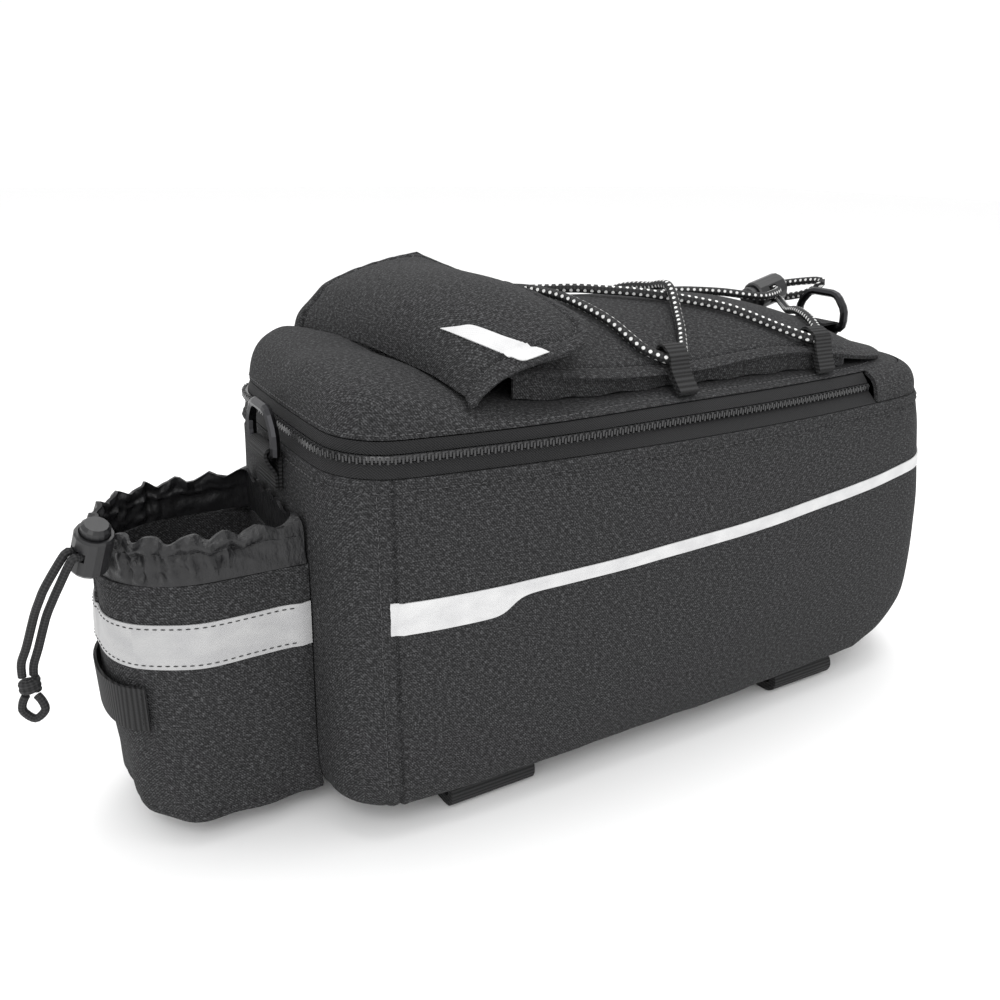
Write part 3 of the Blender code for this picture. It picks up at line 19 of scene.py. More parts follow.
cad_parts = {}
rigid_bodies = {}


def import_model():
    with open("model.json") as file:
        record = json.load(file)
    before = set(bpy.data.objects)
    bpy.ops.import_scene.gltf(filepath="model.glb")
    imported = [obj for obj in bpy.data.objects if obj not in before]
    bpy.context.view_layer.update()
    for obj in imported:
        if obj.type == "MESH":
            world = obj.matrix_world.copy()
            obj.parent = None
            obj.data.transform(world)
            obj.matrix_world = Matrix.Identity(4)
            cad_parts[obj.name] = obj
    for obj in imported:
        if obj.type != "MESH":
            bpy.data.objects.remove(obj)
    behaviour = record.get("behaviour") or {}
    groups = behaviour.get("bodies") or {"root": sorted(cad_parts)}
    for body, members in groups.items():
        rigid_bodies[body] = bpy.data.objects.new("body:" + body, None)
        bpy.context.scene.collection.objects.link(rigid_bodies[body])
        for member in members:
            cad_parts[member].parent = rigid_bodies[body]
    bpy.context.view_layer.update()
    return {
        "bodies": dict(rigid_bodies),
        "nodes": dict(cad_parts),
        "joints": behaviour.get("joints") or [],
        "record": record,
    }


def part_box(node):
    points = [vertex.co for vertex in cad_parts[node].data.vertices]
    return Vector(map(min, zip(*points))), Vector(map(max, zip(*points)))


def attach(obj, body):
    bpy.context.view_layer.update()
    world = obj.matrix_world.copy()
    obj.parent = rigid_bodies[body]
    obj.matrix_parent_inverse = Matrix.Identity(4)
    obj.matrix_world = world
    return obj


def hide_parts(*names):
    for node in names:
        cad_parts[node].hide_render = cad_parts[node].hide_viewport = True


LOG = logging.getLogger("trunk_bag")
WEAVE_MAP = "weave"
WELD = 2e-5
THREAD_LIFT = 0.0001
Move = Callable[[Vector, Vector], Vector]


class Layout(Enum):
    """Which way the ribs of a webbing are counted, on its weave map."""

    ALONG_U = 0
    ALONG_V = 1


class Wire:
    """A shader socket that Python's operators combine through Math nodes."""

    def __init__(self, paint: "Paint", socket: bpy.types.NodeSocket) -> None:
        """Keeps the material's builder and the socket."""
        self.paint = paint
        self.socket = socket

    def math(self, operation: str, *values: "Wire | float") -> "Wire":
        """Adds one Math node.

        Args:
            operation: the node's operation.
            values: what follows this socket in the node.

        Returns:
            The node's result.
        """
        return self.paint.node("ShaderNodeMath", {"operation": operation}, dict(enumerate((self, *values))))

    def __add__(self, other: "Wire | float") -> "Wire":
        """Sum."""
        return self.math("ADD", other)

    __radd__ = __add__

    def __sub__(self, other: "Wire | float") -> "Wire":
        """Difference."""
        return self.math("SUBTRACT", other)

    def __rsub__(self, other: "Wire | float") -> "Wire":
        """Reflected difference."""
        return self * -1.0 + other

    def __mul__(self, other: "Wire | float") -> "Wire":
        """Product."""
        return self.math("MULTIPLY", other)

    __rmul__ = __mul__

    def __gt__(self, other: "Wire | float") -> "Wire":
        """One where this is the larger, otherwise nought."""
        return self.math("GREATER_THAN", other)

    def turn(self, pitch: float) -> "Wire":
        """A sine wave of this length over the socket's value."""
        return (self * (2.0 * math.pi / pitch)).math("SINE")


class Paint:
    """Builds one node material."""

    def __init__(self, name: str) -> None:
        """Starts a material with its Principled shader."""
        self.material = bpy.data.materials.new(name)
        self.material.use_nodes = True
        self.tree = self.material.node_tree
        self.shader = self.tree.nodes["Principled BSDF"]

    def node(
        self, kind: str, settings: dict | None = None, sockets: dict | None = None, output: int = 0
    ) -> Wire:
        """Adds a node.

        Args:
            kind: the node's type.
            settings: its properties; stops holds a ramp's (place, colour) pairs.
            sockets: values or wires for its inputs, by name or number.
            output: which of its outputs is wanted.

        Returns:
            That output.
        """
        made = self.tree.nodes.new(kind)
        for key, value in (settings or {}).items():
            if key == "stops":
                stops = made.color_ramp.elements
                while len(stops) < len(value):
                    stops.new(0.5)
                for stop, (place, colour) in zip(stops, value):
                    stop.position, stop.color = place, (*colour, 1.0)
            else:
                setattr(made, key, value)
        for key, value in (sockets or {}).items():
            if isinstance(value, Wire):
                self.tree.links.new(value.socket, made.inputs[key])
            else:
                made.inputs[key].default_value = value
        return Wire(self, made.outputs[output])

    def weave(self) -> tuple[Wire, Wire, Wire]:
        """The weave map, and its two directions in metres."""
        place = self.node("ShaderNodeUVMap", {"uv_map": WEAVE_MAP})
        parts = [self.node("ShaderNodeSeparateXYZ", {}, {0: place}, k) for k in (0, 1)]
        return place, parts[0], parts[1]

    def grain(self, place: Wire, scale: Sequence[float], detail: float = 2.0, flat: bool = True) -> Wire:
        """Noise.

        Args:
            place: the coordinates.
            scale: how many grains go on a metre, each way.
            detail: the noise's detail.
            flat: whether it is read on a map rather than in space.

        Returns:
            The noise, about a half on average.
        """
        moved = self.node("ShaderNodeMapping", {}, {"Vector": place, "Scale": tuple(scale)})
        kind = {"noise_dimensions": "2D" if flat else "3D"}
        return self.node("ShaderNodeTexNoise", kind, {"Vector": moved, "Scale": 1.0, "Detail": detail})

    def surface(self, **values: "Wire | float | tuple") -> None:
        """Sets the shader's sockets; a name's underscores stand for spaces."""
        for key, value in values.items():
            socket = self.shader.inputs[key.replace("_", " ")]
            if isinstance(value, Wire):
                self.tree.links.new(value.socket, socket)
            else:
                socket.default_value = value

    def relief(self, height: Wire, distance: float, strength: float = 1.0) -> None:
        """Feeds a height into the shader's normal through a Bump node."""
        sockets = {"Height": height, "Distance": distance, "Strength": strength}
        self.surface(Normal=self.node("ShaderNodeBump", {}, sockets))


@dataclass(frozen=True)
class MelangeCloth:
    """Dark grey polyester woven from mixed light and dark yarns."""

    name: str = "melange_cloth"
    dark: tuple[float, float, float] = (0.013, 0.013, 0.0135)
    middle: tuple[float, float, float] = (0.028, 0.028, 0.029)
    light: tuple[float, float, float] = (0.100, 0.101, 0.104)
    yarn: float = 0.00045

    def material(self) -> bpy.types.Material:
        """The node material."""
        paint = Paint(self.name)
        place, across, up = paint.weave()
        short = 0.5 / self.yarn
        weft = paint.grain(place, (short * 0.45, short * 1.6, 1.0), 3.0)
        warp = paint.grain(place, (short * 1.6, short * 0.6, 1.0), 3.0)
        twill = (across + up * 0.8).turn(self.yarn * 2.4) * 0.5 + 0.5
        mixed = weft * 0.52 + warp * 0.38 + twill * 0.10
        stops = ((0.38, self.dark), (0.52, self.middle), (0.70, self.light))
        paint.surface(
            Base_Color=paint.node("ShaderNodeValToRGB", {"stops": stops}, {0: mixed}),
            Roughness=0.88,
            Specular_IOR_Level=0.18,
        )
        paint.relief(twill * 0.5 + mixed * 1.6, 0.00022, 0.8)
        return paint.material


@dataclass(frozen=True)
class RibbedTape:
    """Woven tape or webbing with ribs across it, with painted shade in the grooves and painted highlight on
    the rib tops.
    """

    name: str
    layout: Layout
    colour: tuple[float, float, float] = (0.006, 0.006, 0.006)
    lit_crest: tuple[float, float, float] = (0.030, 0.030, 0.031)
    rib: float = 0.0016
    slant: float = 0.0
    roughness: float = 0.72

    def material(self) -> bpy.types.Material:
        """The node material."""
        paint = Paint(self.name)
        place, across, up = paint.weave()
        line, other = (across, up) if self.layout is Layout.ALONG_U else (up, across)
        ribs = (line + other * self.slant).turn(self.rib) * 0.5 + 0.5
        fuzz = paint.grain(place, (1500.0, 1500.0, 1.0), 2.0)
        height = ribs * 0.8 + fuzz * 0.4
        # The colour follows the rib height: the darker grooves are painted shade and the lighter rib tops are
        # painted highlight.
        stops = ((0.15, self.colour), (1.0, self.lit_crest))
        paint.surface(
            Base_Color=paint.node("ShaderNodeValToRGB", {"stops": stops}, {0: height}),
            Roughness=self.roughness,
            Specular_IOR_Level=0.25,
        )
        paint.relief(height, 0.0003, 0.9)
        return paint.material


@dataclass(frozen=True)
class ThinNylon:
    """Thin coated nylon with small creases and a slight sheen."""

    name: str = "thin_nylon"
    colour: tuple[float, float, float] = (0.015, 0.015, 0.016)

    def material(self) -> bpy.types.Material:
        """The node material."""
        paint = Paint(self.name)
        place = paint.node("ShaderNodeTexCoord", {}, {}, 3)
        crease = paint.grain(place, (240.0, 240.0, 120.0), 4.0, flat=False)
        threads = paint.grain(place, (2200.0, 2200.0, 2200.0), 1.0, flat=False)
        paint.surface(Base_Color=(*self.colour, 1.0), Roughness=threads * 0.16 + 0.34, Specular_IOR_Level=0.4)
        paint.relief(crease + threads * 0.08, 0.0016, 0.8)
        return paint.material


@dataclass(frozen=True)
class ReflectiveFilm:
    """Light grey reflective film on cloth, with a fine grid of beads."""

    name: str
    colour: tuple[float, float, float]
    bright: tuple[float, float, float]

    def material(self) -> bpy.types.Material:
        """The node material."""
        paint = Paint(self.name)
        place, across, up = paint.weave()
        beads = across.turn(0.0011) * up.turn(0.0011)
        cloud = paint.grain(place, (90.0, 140.0, 1.0), 3.0)
        stops = ((0.3, self.colour), (0.75, self.bright))
        paint.surface(
            Base_Color=paint.node("ShaderNodeValToRGB", {"stops": stops}, {0: cloud + beads * 0.06}),
            Roughness=cloud * 0.2 + 0.36,
            Specular_IOR_Level=0.3,
        )
        paint.relief(beads * 0.5 + cloud, 0.00012, 0.5)
        return paint.material


@dataclass(frozen=True)
class BraidedCord:
    """A braided cord; tracer says whether light yarns run in its braid."""

    name: str
    tracer: bool
    colour: tuple[float, float, float] = (0.010, 0.010, 0.0105)
    lit_crest: tuple[float, float, float] = (0.035, 0.035, 0.036)
    light: tuple[float, float, float] = (0.78, 0.78, 0.77)
    pitch: float = 0.0032
    yarns: float = 4.0

    def material(self) -> bpy.types.Material:
        """The node material."""
        paint = Paint(self.name)
        _, along, around = paint.weave()
        first = (along * (1.0 / self.pitch) + around * self.yarns).turn(1.0)
        second = (along * (1.0 / self.pitch) - around * self.yarns).turn(1.0)
        braid = first * second * 0.5 + 0.5
        # The colour follows the braid's height: the lighter crests are painted highlight and the darker
        # hollows are painted shade.
        stops = ((0.2, self.colour), (1.0, self.lit_crest))
        base = paint.node("ShaderNodeValToRGB", {"stops": stops}, {0: braid})
        if self.tracer:
            rows = (around * self.yarns).turn(1.0) * 0.5
            spots = (along.turn(self.pitch) * 0.5 + rows) > 0.52
            mixing = {"data_type": "RGBA"}
            base = paint.node("ShaderNodeMix", mixing, {0: spots, 6: base, 7: (*self.light, 1.0)}, 2)
        paint.surface(Base_Color=base, Roughness=0.62, Specular_IOR_Level=0.25)
        paint.relief(braid, 0.0003, 0.8)
        return paint.material


@dataclass(frozen=True)
class HardFinish:
    """Moulded plastic, painted metal or sewing thread: one colour with a fine grain."""

    name: str
    colour: tuple[float, float, float]
    roughness: float
    metallic: float = 0.0
    grain: float = 900.0
    depth: float = 0.00004

    def material(self) -> bpy.types.Material:
        """The node material."""
        paint = Paint(self.name)
        place = paint.node("ShaderNodeTexCoord", {}, {}, 3)
        speck = paint.grain(place, (self.grain,) * 3, 2.0, flat=False)
        paint.surface(
            Base_Color=(*self.colour, 1.0),
            Metallic=self.metallic,
            Roughness=speck * 0.14 + (self.roughness - 0.07),
        )
        paint.relief(speck, self.depth, 0.6)
        return paint.material


class Finishes:
    """Every finish of the bag, made once."""

    def __init__(self) -> None:
        """Builds the materials."""
        self.cloth = MelangeCloth().material()
        self.webbing = RibbedTape("ribbed_webbing", Layout.ALONG_V).material()
        self.light_loop = RibbedTape("light_loop_webbing", Layout.ALONG_U).material()
        self.tape = RibbedTape(
            "twill_tape", Layout.ALONG_U, (0.008, 0.008, 0.0085), (0.024, 0.024, 0.025), 0.0011, 1.0
        ).material()
        self.nylon = ThinNylon().material()
        self.film = ReflectiveFilm("stripe_film", (0.56, 0.56, 0.565), (0.66, 0.66, 0.66)).material()
        self.band = ReflectiveFilm("band_film", (0.39, 0.39, 0.395), (0.45, 0.45, 0.45)).material()
        self.bungee = BraidedCord("bungee_braid", True).material()
        self.drawcord = BraidedCord("drawcord_braid", False, pitch=0.0024).material()
        self.thread = HardFinish("dark_thread", (0.011, 0.011, 0.012), 0.62).material()
        self.grey_thread = HardFinish("grey_thread", (0.060, 0.060, 0.062), 0.62).material()
        self.plastic = HardFinish("moulded_plastic", (0.011, 0.011, 0.012), 0.36).material()
        self.coil = HardFinish("nylon_coil", (0.030, 0.030, 0.031), 0.24).material()
        self.metal = HardFinish("gunmetal", (0.045, 0.045, 0.048), 0.34, 1.0).material()


def smooth_step(share: float) -> float:
    """A soft ramp from nought to one."""
    share = min(1.0, max(0.0, share))
    return share * share * (3.0 - 2.0 * share)


def bump_at(value: float, middle: float, reach: float) -> float:
    """A bell of height one around middle."""
    return math.exp(-(((value - middle) / reach) ** 2))


def span(first: float, last: float, steps: int) -> list[float]:
    """Evenly spaced numbers, both ends included."""
    return [first + (last - first) * k / steps for k in range(steps + 1)]


def spaced(points: Sequence[Vector], step: float) -> list[tuple[Vector, Vector]]:
    """Walks a line of points.

    Args:
        points: the line.
        step: the distance between the places.

    Returns:
        Places at that distance, each with the line's direction there.
    """
    places, left = [], step / 2
    for start, end in zip(points, points[1:]):
        way = end - start
        length = way.length
        while left < length:
            places.append((start + way * (left / length), way.normalized()))
            left += step
        left -= length
    return places


def metres(spots: Iterable[Sequence[float]]) -> list[Vector]:
    """Millimetre places as vectors in metres."""
    return [Vector(spot) * 0.001 for spot in spots]


def smooth_route(points: Sequence[Vector], step: float, closed: bool = False) -> list[Vector]:
    """Points about step apart on a smooth curve that passes every given point, as the CAD cords have it."""
    size = len(points)
    route = []
    for place in range(size if closed else size - 1):
        picks = [k % size if closed else min(max(k, 0), size - 1) for k in range(place - 1, place + 3)]
        a, b, c, d = (points[pick] for pick in picks)
        parts = max(1, round((c - b).length / step))
        for k in range(parts):
            t = k / parts
            bend = (2 * a - 5 * b + 4 * c - d) * t**2 + (3 * b - a - 3 * c + d) * t**3
            route.append(0.5 * (2 * b + (c - a) * t + bend))
    if not closed:
        route.append(points[-1].copy())
    return route


def tube(
    points: Sequence[Vector], radius: float, upright: Vector, closed: bool, sides: int = 12
) -> bmesh.types.BMesh:
    """Extrudes a circle along a line and lays the weave map along it.

    Args:
        points: the middle of the tube.
        radius: the tube's radius.
        upright: a direction that the line never runs in.
        closed: whether the end joins the start.
        sides: how many sides the circle has.

    Returns:
        The tube's bmesh.
    """
    made = bmesh.new()
    weave = made.loops.layers.uv.new(WEAVE_MAP)
    line = list(points) + ([points[0], points[1]] if closed else [])
    count = len(points) + 1 if closed else len(points)
    places, far = [], [0.0]
    for k in range(count):
        before = line[(k - 1) % len(points)] if closed else line[max(k - 1, 0)]
        way = (line[min(k + 1, len(line) - 1)] - before).normalized()
        side = way.cross(upright).normalized()
        frame = Matrix((side, side.cross(way), -way)).transposed().to_4x4()
        places.append(Matrix.Translation(line[k]) @ frame)
        if k:
            far.append(far[-1] + (line[k] - line[k - 1]).length)
    bmesh.ops.create_circle(made, segments=sides, radius=radius, matrix=places[0])
    edges = list(made.edges)
    for k in range(1, count):
        grown = bmesh.ops.extrude_edge_only(made, edges=edges)["geom"]
        fresh = {item for item in grown if isinstance(item, bmesh.types.BMVert)}
        bmesh.ops.transform(made, matrix=places[k] @ places[k - 1].inverted(), verts=list(fresh))
        edges = [e for e in grown if isinstance(e, bmesh.types.BMEdge) and set(e.verts) <= fresh]
        homes = places[k].inverted(), places[k - 1].inverted()
        for face in {face for vert in fresh for face in vert.link_faces}:
            rounds = []
            for loop in face.loops:
                spot = homes[0 if loop.vert in fresh else 1] @ loop.vert.co
                rounds.append(math.atan2(spot.y, spot.x) / (2 * math.pi))
            wide = max(rounds) - min(rounds) > 0.5
            for loop, turn in zip(face.loops, rounds):
                lift = 1.0 if wide and turn < 0.0 else 0.0
                loop[weave].uv = (far[k if loop.vert in fresh else k - 1], turn + lift)
    if closed:
        bmesh.ops.remove_doubles(made, verts=made.verts, dist=WELD)
    else:
        bmesh.ops.holes_fill(made, edges=[e for e in made.edges if e.is_boundary], sides=sides)
    bmesh.ops.recalc_face_normals(made, faces=made.faces)
    return made


def box_weave(made: bmesh.types.BMesh) -> None:
    """Lays the weave map in metres, each face seen along the axis that it faces most."""
    weave = made.loops.layers.uv.verify()
    for face in made.faces:
        size = [abs(part) for part in face.normal]
        if size[2] >= 0.62:
            pick = (0, 1)
        elif size[1] >= size[0]:
            pick = (0, 2)
        else:
            pick = (1, 2)
        for loop in face.loops:
            loop[weave].uv = (loop.vert.co[pick[0]], loop.vert.co[pick[1]])


class Workshop:
    """Turns CAD nodes into cloth, and keeps the finished surfaces for what lies on them."""

    def __init__(self, frame: dict) -> None:
        """Keeps the frame's nodes and makes the finishes."""
        self.nodes = frame["nodes"]
        self.paint = Finishes()
        self.skins: dict[str, BVHTree] = {}

    def soften(self, node: str, levels: int, hard: float = 0.8, cuts: Iterable = ()) -> bmesh.types.BMesh:
        """Copies a CAD node's mesh, welds it, pairs its triangles and smooths it.

        Args:
            node: the node's name.
            levels: how often Subdivision Surface splits it.
            hard: the angle between two faces over which their edge stays sharp.
            cuts: (point, direction) planes that add edges.

        Returns:
            The finer bmesh.
        """
        made = bmesh.new()
        made.from_mesh(self.nodes[node].data)
        bmesh.ops.remove_doubles(made, verts=made.verts, dist=WELD)
        bmesh.ops.join_triangles(
            made, faces=made.faces, angle_face_threshold=0.7, angle_shape_threshold=1.2
        )
        crease = made.edges.layers.float.new("crease_edge")
        for edge in made.edges:
            if edge.calc_face_angle(0.0) > hard:
                edge[crease] = 1.0
        data = bpy.data.meshes.new(node + "_cage")
        made.to_mesh(data)
        made.free()
        for extra in [a.name for a in data.attributes if a.name in ("custom_normal", "sharp_edge")]:
            data.attributes.remove(data.attributes[extra])
        cage = bpy.data.objects.new(node + "_cage", data)
        bpy.context.scene.collection.objects.link(cage)
        step = cage.modifiers.new("smooth", "SUBSURF")
        step.levels = step.render_levels = levels
        fine = bpy.data.meshes.new_from_object(cage.evaluated_get(bpy.context.evaluated_depsgraph_get()))
        bpy.data.objects.remove(cage)
        made = bmesh.new()
        made.from_mesh(fine)
        bpy.data.meshes.remove(fine)
        bpy.data.meshes.remove(data)
        for layer in list(made.loops.layers.uv):
            made.loops.layers.uv.remove(layer)
        made.loops.layers.uv.new(WEAVE_MAP)
        for point, way in cuts:
            everything = [*made.verts, *made.edges, *made.faces]
            bmesh.ops.bisect_plane(made, geom=everything, plane_co=point, plane_no=way, dist=1e-6)
        made.normal_update()
        return made

    def work(self, made: bmesh.types.BMesh, move: Move) -> None:
        """Moves every vertex by what move gives for its place and its normal."""
        shifts = [move(vert.co, vert.normal) for vert in made.verts]
        for vert, shift in zip(made.verts, shifts):
            vert.co += shift
        made.normal_update()

    def settle(self, made: bmesh.types.BMesh, skin: str, gap: float, wall: float = 0.0005) -> None:
        """Lays a thin piece on a finished surface.

        Args:
            made: the piece.
            skin: the surface's name.
            gap: how far the piece's underside stays off it.
            wall: the piece's thickness.
        """
        spots = []
        for vert in made.verts:
            near, way, _, _ = self.skins[skin].find_nearest(vert.co)
            share = 0.5 + 0.5 * max(-1.0, min(1.0, vert.normal.dot(way) * 2.5))
            spots.append(near + way * (gap + wall * share))
        for vert, spot in zip(made.verts, spots):
            vert.co = spot
        made.normal_update()

    def hand_over(
        self, name: str, made: bmesh.types.BMesh, finish: bpy.types.Material, slot: str,
        replaces: Sequence[str] = (), body: str = "bag", mapped: bool = False,
    ) -> bpy.types.Object:
        """Makes the finished object.

        Args:
            name: the piece's name, and its surface's.
            made: its bmesh, which is freed.
            finish: its material.
            slot: the record's material slot; not used.
            replaces: the CAD nodes that it stands for.
            body: the body that it rides on.
            mapped: whether it already has its weave map.

        Returns:
            The object.
        """
        if not mapped:
            box_weave(made)
        self.skins[name] = BVHTree.FromBMesh(made)
        data = bpy.data.meshes.new(name)
        made.to_mesh(data)
        made.free()
        data.materials.clear()
        data.materials.append(finish)
        data.shade_smooth()
        data.set_sharp_from_angle(angle=math.radians(50.0))
        piece = bpy.data.objects.new(name, data)
        bpy.context.scene.collection.objects.link(piece)
        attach(piece, body)
        if replaces:
            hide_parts(*replaces)
        LOG.info("%s: %d faces", name, len(data.polygons))
        return piece

    def sew(
        self, name: str, node: str, finish: bpy.types.Material, slot: str, levels: int = 3,
        move: Move | None = None, hard: float = 0.8, cuts: Iterable = (), skin: str = "", gap: float = 0.0,
    ) -> bpy.types.Object:
        """Makes a soft piece from its own CAD node.

        Args:
            name: the piece's name.
            node: the CAD node that it is made from and stands for.
            finish: its material.
            slot: the record's material slot.
            levels: how often it is split.
            move: how its vertices move.
            hard: the angle over which an edge stays sharp.
            cuts: planes that add edges.
            skin: the surface that it is laid on.
            gap: how far it stays off that surface.

        Returns:
            The object.
        """
        made = self.soften(node, levels, hard, cuts)
        if move:
            self.work(made, move)
        if skin:
            self.settle(made, skin, gap)
        return self.hand_over(name, made, finish, slot, [node])

    def dress(self, node: str, finish: bpy.types.Material) -> None:
        """Gives a CAD node that stays a new material."""
        data = self.nodes[node].data
        data.materials.clear()
        data.materials.append(finish)

    def hits(self, skin: str, rays: Iterable[tuple], lift: float = THREAD_LIFT) -> list[Vector]:
        """Where rays meet a surface.

        Args:
            skin: the surface.
            rays: a start and a direction each.
            lift: how far the points are raised off it.

        Returns:
            The points of the rays that meet it.
        """
        found = [self.skins[skin].ray_cast(Vector(start), Vector(way)) for start, way in rays]
        return [spot + normal * lift for spot, normal, _, _ in found if spot]

    def down(self, skin: str, line: Iterable[tuple[float, float]]) -> list[Vector]:
        """The points of a surface under a line of x and y places."""
        return self.hits(skin, (((x, y, 0.4), (0, 0, -1)) for x, y in line))

    def around(self, skin: str, height: float, first_x: float) -> list[Vector]:
        """Walks round the bag's outline at a height, from the near side over the pocket end to the far side.

        Args:
            skin: the surface.
            height: the height.
            first_x: where it starts, and ends on the far side.

        Returns:
            The points.
        """
        turn_x, turn_y, away = -0.098, 0.040, 0.35
        rays = [((x, -away, height), (0, 1, 0)) for x in span(first_x, turn_x, 60)]
        for side, angles in ((-1, span(-90, -180, 12)), (1, span(180, 90, 12))):
            for angle in angles:
                way = Vector((math.cos(math.radians(angle)), math.sin(math.radians(angle)), 0.0))
                rays.append((Vector((turn_x, side * turn_y, height)) + way * away, -way))
            if side < 0:
                rays += [((-0.4, y, height), (1, 0, 0)) for y in span(-turn_y, turn_y, 20)]
        rays += [((x, away, height), (0, -1, 0)) for x in span(turn_x, first_x, 60)]
        return self.hits(skin, rays)


class Stitches:
    """Rows of sewing thread in one mesh."""

    def __init__(self, shop: Workshop, name: str) -> None:
        """Starts an empty mesh."""
        self.shop = shop
        self.name = name
        self.made = bmesh.new()

    def row(
        self, line: Sequence[Vector], pitch: float = 0.0030, length: float = 0.0021, width: float = 0.00052
    ) -> None:
        """Sews along a line.

        Args:
            line: the points on the surface.
            pitch: the distance from stitch to stitch.
            length: a stitch's length.
            width: the thread's width.
        """
        for place, way in spaced(line, pitch):
            turn = way.to_track_quat("X", "Z").to_matrix().to_4x4()
            size = Matrix.Diagonal((length / 2, width / 2, width / 2, 1.0))
            matrix = Matrix.Translation(place) @ turn @ size
            bmesh.ops.create_uvsphere(self.made, u_segments=6, v_segments=4, radius=1.0, matrix=matrix)

    def done(self, finish: bpy.types.Material, slot: str = "fabric") -> bpy.types.Object:
        """Hands the sewn rows over as one piece."""
        return self.shop.hand_over(self.name, self.made, finish, slot)


@dataclass
class Body:
    """The padded tub and the lid."""

    shop: Workshop
    seam_x: float = -0.1131
    stitch_x: float = 0.0052
    groove_z: float = 0.1480
    groove: float = 0.0011
    middle_x: float = 0.038
    puff: float = 0.0009

    def outward(self, co: Vector) -> Vector:
        """The level direction out of the tub at a place."""
        way = Vector((((co.x - self.middle_x) / 0.171) ** 5, (co.y / 0.076) ** 5, 0.0))
        return way.normalized() if way.length > 1e-9 else Vector((0.0, 0.0, 0.0))

    def tub_move(self, co: Vector, _: Vector) -> Vector:
        """How cloth and padding stand out of the CAD wall at a place of the tub."""
        calm = 0.15 if co.x < -0.122 and abs(co.y) < 0.043 else 1.0
        swell = noise.noise(co * 17.0) * self.puff + noise.noise(co * 48.0) * self.puff * 0.35
        along = co.x if abs(co.y) > 0.055 else co.y
        hem = smooth_step((co.z - 0.128) / 0.02)
        swell += 0.00032 * hem * math.sin(along * 560.0 + 3.0 * noise.noise(co * 60.0))
        swell += 0.0007 * bump_at(co.z, 0.1508, 0.0012) - 0.0008 * bump_at(co.z, self.groove_z, 0.0008)
        away = co.x - self.seam_x
        swell -= self.groove * bump_at(away, 0.0, 0.0009)
        swell += 0.0006 * (bump_at(away, 0.0022, 0.0014) + 0.6 * bump_at(away, -0.0022, 0.0014))
        swell -= 0.0005 * bump_at(away, -self.stitch_x, 0.0007)
        swell += 0.0004 * math.sin(co.z * 640.0 + 2.0 * noise.noise(co * 50.0)) * bump_at(away, -0.002, 0.006)
        return self.outward(co) * swell * calm

    def lid_move(self, co: Vector, _: Vector) -> Vector:
        """The lid's folds: long and soft at the pocket end, none where the panel lies close."""
        free = smooth_step((0.095 - co.x) / 0.05)
        inner = smooth_step((co.z - 0.1668) / 0.007)
        fold = noise.noise(Vector((co.x * 34.0, co.y * 15.0, 3.0))) * 0.0016
        fold += noise.noise(Vector((co.x * 16.0 + co.y * 40.0, co.y * 9.0, 8.0))) * 0.0012
        return Vector((0.0, 0.0, fold * inner * free))

    def build(self) -> None:
        """Makes the tub, the lid, the gusset and their stitches."""
        shop = self.shop
        cloth = shop.paint.cloth
        steps = (-0.0064, -0.0052, -0.004, -0.0022, -0.0009, 0.0, 0.0009, 0.0022, 0.004)
        cuts = [((self.seam_x + away, 0, 0), (1, 0, 0)) for away in steps]
        cuts += [((0, 0, z), (0, 0, 1)) for z in (0.1465, self.groove_z, 0.1492, 0.1508, 0.152)]
        shop.sew("tub_cloth", "main_tub", cloth, "fabric", move=self.tub_move, cuts=cuts)
        shop.sew("lid_cloth", "lid", cloth, "fabric", move=self.lid_move)
        shop.sew("hinge_cloth", "hinge_gusset", cloth, "fabric", 2)
        thread = Stitches(shop, "body_stitches")
        thread.row(shop.around("tub_cloth", self.groove_z, 0.150))
        thread.row(shop.around("lid_cloth", 0.1682, 0.150))
        for side in (-1, 1):
            line = [(self.seam_x - self.stitch_x, side * 0.3, z) for z in span(0.022, 0.1465, 50)]
            thread.row(shop.hits("tub_cloth", ((start, (0, -side, 0)) for start in line)))
        thread.done(shop.paint.grey_thread)


